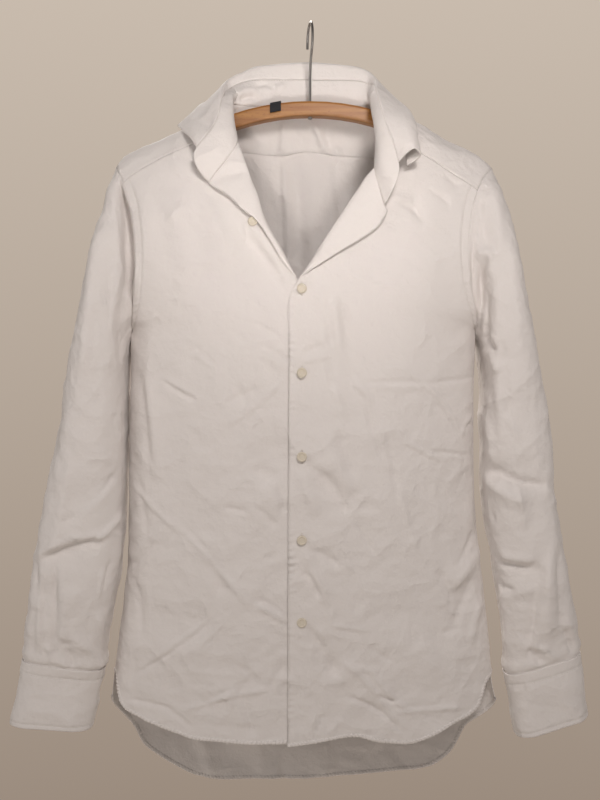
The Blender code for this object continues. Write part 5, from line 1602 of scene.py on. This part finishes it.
class Stitching:
    """Collects small thread bars into one mesh."""

    def __init__(self):
        self.points = []
        self.faces = []

    def bar(self, start, end, normal, radius):
        """Thread of four sides, which dips into the cloth at both ends."""
        side = unit(np.cross(end - start, normal)) * radius
        up = normal * radius
        first = len(self.points)
        self.points.append(tuple(start - up * STITCH_SINK))
        for share in (STITCH_TAPER, 1 - STITCH_TAPER):
            middle = blend(start, end, share)
            self.points.extend(tuple(middle + offset) for offset in (side, up, -side, -up))
        self.points.append(tuple(end - up * STITCH_SINK))
        for turn in range(4):
            near = first + 1 + turn
            after = first + 1 + (turn + 1) % 4
            self.faces.append((first, after, near))
            self.faces.append((near, after, after + 4, near + 4))
            self.faces.append((first + 9, near + 4, after + 4))

    def line(self, grid, normals, edge, distance, lift):
        """Row of stitches at a distance in from one edge of a grid."""
        spots, turned = even_path(*inset_path(grid, normals, edge, distance), STITCH_PITCH)
        for number in range(len(spots) - 1):
            start = spots[number] + turned[number] * lift
            following = spots[number + 1] + turned[number] * lift
            end = blend(start, following, STITCH_LENGTH / STITCH_PITCH)
            self.bar(start, end, turned[number], THREAD_RADIUS)


def add_hem(name, grid, normals, material):
    """Narrow rolled hem along the bottom edge, with slanted rope-like puckers."""
    points, outward = even_path(*inset_path(grid, normals, "bottom", HEM_INSET), HEM_STEP)
    below, _ = even_path(*inset_path(grid, normals, "bottom", 0.0), HEM_STEP)
    count = min(len(points), len(below))
    points, outward = points[:count], outward[:count]
    up = unit(np.cross(np.gradient(points, axis=0), outward))
    up = up * np.sign((up * (points - below[:count])).sum())
    twist = 2 * math.pi * np.arange(count) * HEM_STEP / ROPE_PITCH
    twist = twist + swell_height(points, ROPE_WOBBLE)
    rings = []
    for turn in np.linspace(0, 2 * math.pi, HEM_SIDES, endpoint=False):
        wave = np.sin(twist + math.cos(turn) * ROPE_SLANT)
        thick = HEM_HALF_THICKNESS * (1 + ROPE_THICKNESS * wave) * math.sin(turn)
        tall = HEM_HALF_HEIGHT * (1 + ROPE_HEIGHT * wave) * math.cos(turn)
        rings.append(points + up * tall[:, None] + outward * thick[:, None])
    mesh = shell_mesh(name, [np.stack(rings, axis=1)], True)
    mesh.shade_smooth()
    return add_piece(name, mesh, material)


def marked(grid):
    return {label: np.zeros(grid.shape[:2]) for label in MARKS}


def add_pucker(marks, grid, pucker):
    """Puckers beside a sewn edge: waves across it that die out away from it."""
    away = np.abs(distance_from(grid, pucker.edge) - pucker.start)
    uneven = UNEVEN_LEVEL + UNEVEN_RANGE * smooth_noise(grid, UNEVEN_CELL, pucker.seed + 3)
    fade = np.exp(-(away / pucker.reach) ** 2) * np.clip(uneven, 0, UNEVEN_MOST)
    marks["pucker"] += pucker.height * fade
    wobble = smooth_noise(grid, WOBBLE_CELL, pucker.seed) * WOBBLE_TURN
    marks["phase"] = 2 * math.pi * length_along(grid, pucker.edge) / pucker.pitch + wobble


def add_groove(marks, grid, edge, distance):
    """Line that stitching pulls in, at a distance from an edge."""
    away = distance_from(grid, edge) - distance
    marks["seam"] += np.exp(-(away / GROOVE_HALF_WIDTH) ** 2)


# The shirt's pieces

def front_grids(side):
    """A front's panel and turned-out part on fine rows, and the rows that they share."""
    coarse = front_panel(side, round(FRONT_WIDTH / FRONT_STEP), FRONT_LOWER_ROWS)
    before, after = turned_out(side)
    knots = summed_lengths(coarse).mean(axis=1)
    places = []
    for low, high in ((0, before), (before, after), (after, -1)):
        span = knots[high] - knots[low]
        count = max(int(span / FRONT_STEP), 1)
        places.append(np.linspace(knots[low], knots[high], count + 1)[:-1])
    places = np.concatenate(places + [knots[-1:]])
    panel = curve_through(knots, coarse, places)
    inside = (places >= knots[before] - TINY) & (places <= knots[after] + TINY)
    turned = lapel(side, coarse, LAPEL_COLUMNS)
    turned = curve_through(knots[before:after + 1], turned, places[inside])
    turned[:, 0] = panel[inside][:, 0]
    return panel, turned, np.nonzero(inside)[0]


def front_height(side, points):
    """Creases and crumple. Under the left front's band the right front has the same."""
    height = creased(points, FRONT_CREASES["left"])
    if side == "right":
        under = ease_step(in_picture(points)[0], *UNDER_BAND_PX)
        height = blend(creased(points, FRONT_CREASES["right"]), height, under)
    return height + crumple_field(points, CRUMPLE_SEED["front"], lower_share(points))


def add_front_shell(side, cotton, stitching):
    panel, turned, shared_rows = front_grids(side)
    fold_end = shared_rows[-1]
    held = np.pad(np.arange(len(panel)) > fold_end, HOLD_ROWS, mode="edge")
    spread = np.ones(2 * HOLD_ROWS + 1) / (2 * HOLD_ROWS + 1)
    held = np.convolve(held, spread, mode="valid")[:, None]
    fade = edge_fade(panel, ["top"], FADE_ROWS["front"])
    fade = fade * ease_step(distance_from(panel, "last"), 0, SIDE_FADE)
    fade = fade * np.maximum(held, ease_step(distance_from(panel, "first"), 0, FOLD_FADE))
    normals = grid_normals(panel, False, FORWARD)
    panel = raised(panel, normals, front_height(side, panel) * fade)
    normals = grid_normals(panel, False, FORWARD)
    turned_fade = ease_step(distance_from(turned, "first"), 0, LAPEL_FADE)
    small = crumpled(turned, [LAPEL_CRUMPLE]) * turned_fade
    turned = raised(turned, grid_normals(turned, False, FORWARD), small)
    marks = marked(panel)
    add_pucker(marks, panel, ARMHOLE_PUCKER)
    add_groove(marks, panel, "last", ARMHOLE_GROOVE)
    for label in ("pucker", "seam"):
        marks[label] *= 1 - ease_step(np.linspace(0, 1, len(panel))[:, None], *ARMHOLE_END)
    if side == "left":
        band = marked(panel)
        add_pucker(band, panel, BAND_PUCKER)
        band["pucker"] *= held
        beside = distance_from(panel, "first") < BAND_REACH
        for label in ("pucker", "phase"):
            marks[label] = np.where(beside, band[label], marks[label])
    marks = [marks, marked(turned)]
    shell = add_shell("shirt_front_" + side, "front_" + side, [panel, turned], SHELL, cotton, marks)
    hem = add_hem("hem_front_" + side, panel, normals, cotton)
    upper = slice(0, int(len(panel) * ARMHOLE_ROWS))
    stitching.line(panel[upper], normals[upper], "last", ARMHOLE_STITCHES, SHELL / 2)
    stitching.line(panel[fold_end:], normals[fold_end:], "first", BAND_STITCHES, SHELL / 2)


def add_back_shell(cotton):
    rows = round(BACK_UPPER_LENGTH / BACK_STEP), round(BACK_LOWER_LENGTH / BACK_STEP)
    panel = back_panel(round(BACK_WIDTH / BACK_STEP), *rows)
    fade = edge_fade(panel, ["top"], FADE_ROWS["back"])
    for edge in ("first", "last"):
        fade = fade * ease_step(distance_from(panel, edge), 0, SIDE_FADE)
    height = creased(panel, BACK_OUTSIDE_CREASES) - creased(panel, BACK_INSIDE_CREASES)
    height = height + crumple_field(panel, CRUMPLE_SEED["back"], lower_share(panel))
    panel = raised(panel, grid_normals(panel, False, BACKWARD), height * fade)
    marks = marked(panel)
    add_pucker(marks, panel, BACK_PUCKER)
    shell = add_shell("shirt_back", "back", [panel], SHELL, cotton, [marks])
    hem = add_hem("hem_back", panel, grid_normals(panel, False, BACKWARD), cotton)


def add_yoke_shell(cotton, stitching):
    panel = yoke_panel(*YOKE_GRID)
    fade = edge_fade(panel, ["top", "bottom", "first", "last"], FADE_ROWS["yoke"])
    height = crumple_field(panel, CRUMPLE_SEED["yoke"], YOKE_CRUMPLE) - creased(panel, YOKE_CREASES)
    panel = raised(panel, grid_normals(panel, False, YOKE_OUTWARD), height * fade)
    marks = marked(panel)
    add_pucker(marks, panel, YOKE_PUCKER)
    shell = add_shell("shirt_yoke", "yoke", [panel], SHELL, cotton, [marks])
    normals = grid_normals(panel, False, YOKE_OUTWARD)
    for edge in ("first", "last", "bottom"):
        stitching.line(panel, normals, edge, YOKE_STITCHES, SHELL / 2)


def tuck_depth(side, points):
    """How far the sleeve's front lies back beside the body, behind its long fold."""
    px, py = in_picture(points)
    inside = (looked_up(TUCKS[side], "py", "px", py) - px) * SIDE_SIGN[side]
    depth = looked_up(TUCKS[side], "py", "depth", py)
    return MILLIMETRE * depth * ease_step(inside, -TUCK_EDGE, TUCK_EDGE)


def gathered(tube):
    """Small pleats and a soft swell where a sleeve is sewn into its cuff."""
    above = distance_from(tube, "bottom")
    pleats = swell_height(tube * GATHER_STRETCH, GATHERS) * np.exp(-above / GATHER_REACH)
    swell = GATHER_SWELL * np.exp(-((above - SWELL_REACH) / SWELL_REACH) ** 2)
    return (pleats + swell) * ease_step(above, 0.0, GATHER_FADE)


def tucked_into_cuff(side, tube):
    """The sleeve's tube with more rings inside the cuff's upper edge."""
    turn = np.linspace(0, 2 * math.pi, tube.shape[1], endpoint=False)
    rings = [tube]
    for row, size in TUCKED_RINGS:
        ring = sleeve_ring(CUFFS[side], row, turn)
        rings.append(blend(ring.mean(axis=0), ring, size)[None])
    return np.concatenate(rings)


def add_sleeve_shell(side, cotton):
    tube = sleeve_tube(side, round(SLEEVE_GIRTH / SLEEVE_STEP), round(SLEEVE_LENGTH / SLEEVE_STEP))
    normals = grid_normals(tube, True, None)
    before = ease_step(-normals[..., 1], *BEFORE_FADE)
    behind = creased(tube, SLEEVE_CREASES["behind"])
    height = blend(behind, creased(tube, SLEEVE_CREASES[side]), before) * SLEEVE_CREASE_STRENGTH
    height = height + crumple_field(tube, CRUMPLE_SEED["sleeve"], SLEEVE_CRUMPLE)
    tube = raised(tube, normals, height * edge_fade(tube, ["top", "bottom"], FADE_ROWS["sleeve"]))
    free = ease_step(np.arange(len(tube))[:, None], 0, TUCK_START_ROWS)
    tube[..., 1] += tuck_depth(side, tube) * before * free
    tube = tucked_into_cuff(side, raised(tube, normals, gathered(tube)))
    marks = marked(tube)
    add_pucker(marks, tube, SLEEVE_HEAD_PUCKER)
    low = marked(tube)
    add_pucker(low, tube, SLEEVE_END_PUCKER)
    lower = np.arange(len(tube))[:, None] > len(tube) // 2
    for label in ("pucker", "phase"):
        marks[label] = np.where(lower, low[label], marks[label])
    shell = add_shell("shirt_sleeve_" + side, "sleeve_" + side, [tube], SHELL, cotton, [marks], True)


def add_cuff_shell(side, cotton, stitching):
    band = cuff_band(side, *CUFF_GRID)
    height = crumpled(band, CUFF_CRUMPLES) + swell_height(band, CUFF_SWELL)
    height = height * edge_fade(band, ["top"], FADE_ROWS["cuff"])
    band = raised(band, grid_normals(band, False, None), height)
    marks = marked(band)
    add_pucker(marks, band, CUFF_PUCKER)
    normals = grid_normals(band, False, None)
    for edge in ("top", "bottom"):
        add_groove(marks, band, edge, CUFF_GROOVES[edge])
        stitching.line(band, normals, edge, CUFF_STITCHES[edge], STIFF_SHELL / 2)
    shell = add_shell("shirt_cuff_" + side, "cuff_" + side, [band], STIFF_SHELL, cotton, [marks])


def add_collar_shells(cotton, stitching):
    stand = stand_rows(*STAND_GRID)
    leaf = leaf_rows(*LEAF_GRID)
    inward = STAND_MIDDLE - stand
    height = crumpled(stand, [STAND_CRUMPLE]) + creased(stand, STAND_CREASES)
    height = height * edge_fade(stand, ["top", "bottom", "first", "last"], FADE_ROWS["stand"])
    stand = raised(stand, grid_normals(stand, False, inward), height)
    height = crumpled(leaf, [LEAF_CRUMPLE]) + creased(leaf, LEAF_CREASES)
    height = height * edge_fade(leaf, ["top"], FADE_ROWS["leaf"])
    leaf = raised(leaf, grid_normals(leaf, False, leaf - LEAF_MIDDLE), height)
    band = add_shell("shirt_collar_stand", "collar_stand", [stand], STIFF_SHELL, cotton)
    turn = add_shell("shirt_collar_leaf", "collar_leaf", [leaf], STIFF_SHELL, cotton)
    normals = grid_normals(stand, False, inward)
    for edge in ("top", "bottom"):
        stitching.line(stand, normals, edge, STAND_STITCHES, STIFF_SHELL / 2)


# Buttonholes and the thread of the buttons

def surface_at(side, x, z, lift):
    """A spot on a front at a distance off it, and the front's normal there."""
    beside = front_surface(side, x + SLOPE_NUDGE, z) - front_surface(side, x - SLOPE_NUDGE, z)
    above = front_surface(side, x, z + SLOPE_NUDGE) - front_surface(side, x, z - SLOPE_NUDGE)
    normal = unit(np.array([float(beside), -2 * SLOPE_NUDGE, float(above)]))
    return np.array([x, float(front_surface(side, x, z)), z]) + normal * lift, normal


def add_buttonhole(stitching, x, z):
    """Two rows of close stitches beside an upright slit, with bars at its ends."""
    ends = (z - BUTTONHOLE_HALF, z + BUTTONHOLE_HALF)
    count = round(2 * BUTTONHOLE_HALF / BUTTONHOLE_PITCH)
    for level in np.linspace(*ends, count + 1):
        for edge in (-1, 1):
            near = x + edge * BUTTONHOLE_SLIT
            start, normal = surface_at("left", near, level, SHELL / 2)
            end, _ = surface_at("left", near + edge * BUTTONHOLE_STITCH, level, SHELL / 2)
            stitching.bar(start, end, normal, THREAD_RADIUS)
    for level in ends:
        start, normal = surface_at("left", x - BUTTONHOLE_END, level, SHELL / 2)
        end, _ = surface_at("left", x + BUTTONHOLE_END, level, SHELL / 2)
        stitching.bar(start, end, normal, THREAD_RADIUS * BUTTONHOLE_END_THREAD)


def add_button_thread(stitching, side, x, z):
    """Crossed thread through four holes in the middle of a button."""
    lift = CLOTH / 2 + BUTTON_GAP + BUTTON_HEIGHT * BUTTON_WELL + THREAD_RADIUS * THREAD_LIFT
    for rise in (HOLE_SPACING, -HOLE_SPACING):
        start, normal = surface_at(side, x - HOLE_SPACING, z - rise, lift)
        end, _ = surface_at(side, x + HOLE_SPACING, z + rise, lift)
        stitching.bar(start, end, normal, THREAD_RADIUS * BUTTON_THREAD)


def sew_buttons(stitching):
    for number in range(FASTENED_BUTTONS):
        z = FIRST_BUTTON_Z - BUTTON_SPACING * number
        add_buttonhole(stitching, BUTTON_X, z)
        add_button_thread(stitching, "left", BUTTON_X, z)
    add_button_thread(stitching, "right", *OPEN_BUTTON)


# Floor, light and camera

def add_lamp(lamp):
    light = bpy.data.lights.new(lamp.name, "AREA")
    light.spread = math.radians(lamp.spread)
    light.shape = "DISK"
    light.size = lamp.size
    light.energy = lamp.power
    light.color = lamp.color
    thing = add_object(lamp.name, light)
    thing.location = lamp.place
    direction = Vector(lamp.target) - thing.location
    thing.rotation_euler = direction.to_track_quat("-Z", "Y").to_euler()


def add_floor():
    mesh = bpy.data.meshes.new("floor")
    turns = np.linspace(0, 2 * math.pi, FLOOR_SIDES, endpoint=False)
    rim = [(FLOOR_RADIUS * math.cos(a), FLOOR_RADIUS * math.sin(a), FLOOR_Z) for a in turns]
    mesh.from_pydata(rim, [], [tuple(range(FLOOR_SIDES))])
    mesh.materials.append(new_material("floor", FLOOR_COLOR, FLOOR_ROUGHNESS)[0])
    add_object("floor", mesh)


def share_of_range(tree, value, low, high):
    node = tree.nodes.new("ShaderNodeMapRange")
    node.inputs["From Min"].default_value = low
    node.inputs["From Max"].default_value = high
    tree.links.new(value, node.inputs["Value"])
    return node.outputs[0]


def set_world():
    """Soft surroundings: an even front light, and a warm backdrop that darkens downward."""
    world = bpy.data.worlds.new("studio")
    bpy.context.scene.world = world
    world.use_nodes = True
    tree = world.node_tree
    parts = tree.nodes.new("ShaderNodeSeparateXYZ")
    tree.links.new(tree.nodes.new("ShaderNodeTexCoord").outputs["Generated"], parts.inputs[0])
    rise = share_of_range(tree, parts.outputs["Z"], *RISE_RANGE)
    depth = share_of_range(tree, parts.outputs["Y"], *DEPTH_RANGE)
    backdrop = mixed_color(tree, rise, BACKDROP_LOW, BACKDROP_HIGH)
    front = mixed_color(tree, rise, FRONT_LOW, FRONT_HIGH)
    background = tree.nodes["Background"]
    tree.links.new(mixed_color(tree, depth, front, backdrop), background.inputs["Color"])
    background.inputs["Strength"].default_value = 1.0


def add_camera():
    camera = bpy.data.cameras.new("camera")
    camera.lens = LENS
    camera.sensor_width = SENSOR_WIDTH
    camera.sensor_fit = "AUTO"
    thing = add_object("camera", camera)
    thing.location = CAMERA
    thing.rotation_euler = (math.radians(90.0), 0.0, 0.0)
    bpy.context.scene.camera = thing


def finish_cad_nodes():
    """Better materials on the hard pieces, which show as the CAD has them."""
    materials = {
        "button": plain_material(BUTTON_FINISH),
        "label": plain_material(LABEL_FINISH),
        "hook": plain_material(STEEL_FINISH),
        "hanger": wood_material(),
    }
    for name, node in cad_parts.items():
        chosen = materials.get(name.split("_")[0])
        if chosen:
            for place in node.material_slots:
                place.material = chosen


def build_looks():
    cotton = cotton_material()
    stitching = Stitching()
    for side in ("left", "right"):
        add_front_shell(side, cotton, stitching)
        add_sleeve_shell(side, cotton)
        add_cuff_shell(side, cotton, stitching)
    add_back_shell(cotton)
    add_yoke_shell(cotton, stitching)
    add_collar_shells(cotton, stitching)
    sew_buttons(stitching)
    threads = bpy.data.meshes.new("stitching")
    threads.from_pydata(stitching.points, [], stitching.faces)
    add_piece("stitching", threads, plain_material(THREAD_FINISH))
    finish_cad_nodes()
    add_floor()
    set_world()
    for lamp in LAMPS:
        add_lamp(lamp)
    add_camera()
    bpy.context.scene.view_settings.view_transform = "Standard"


build_looks()
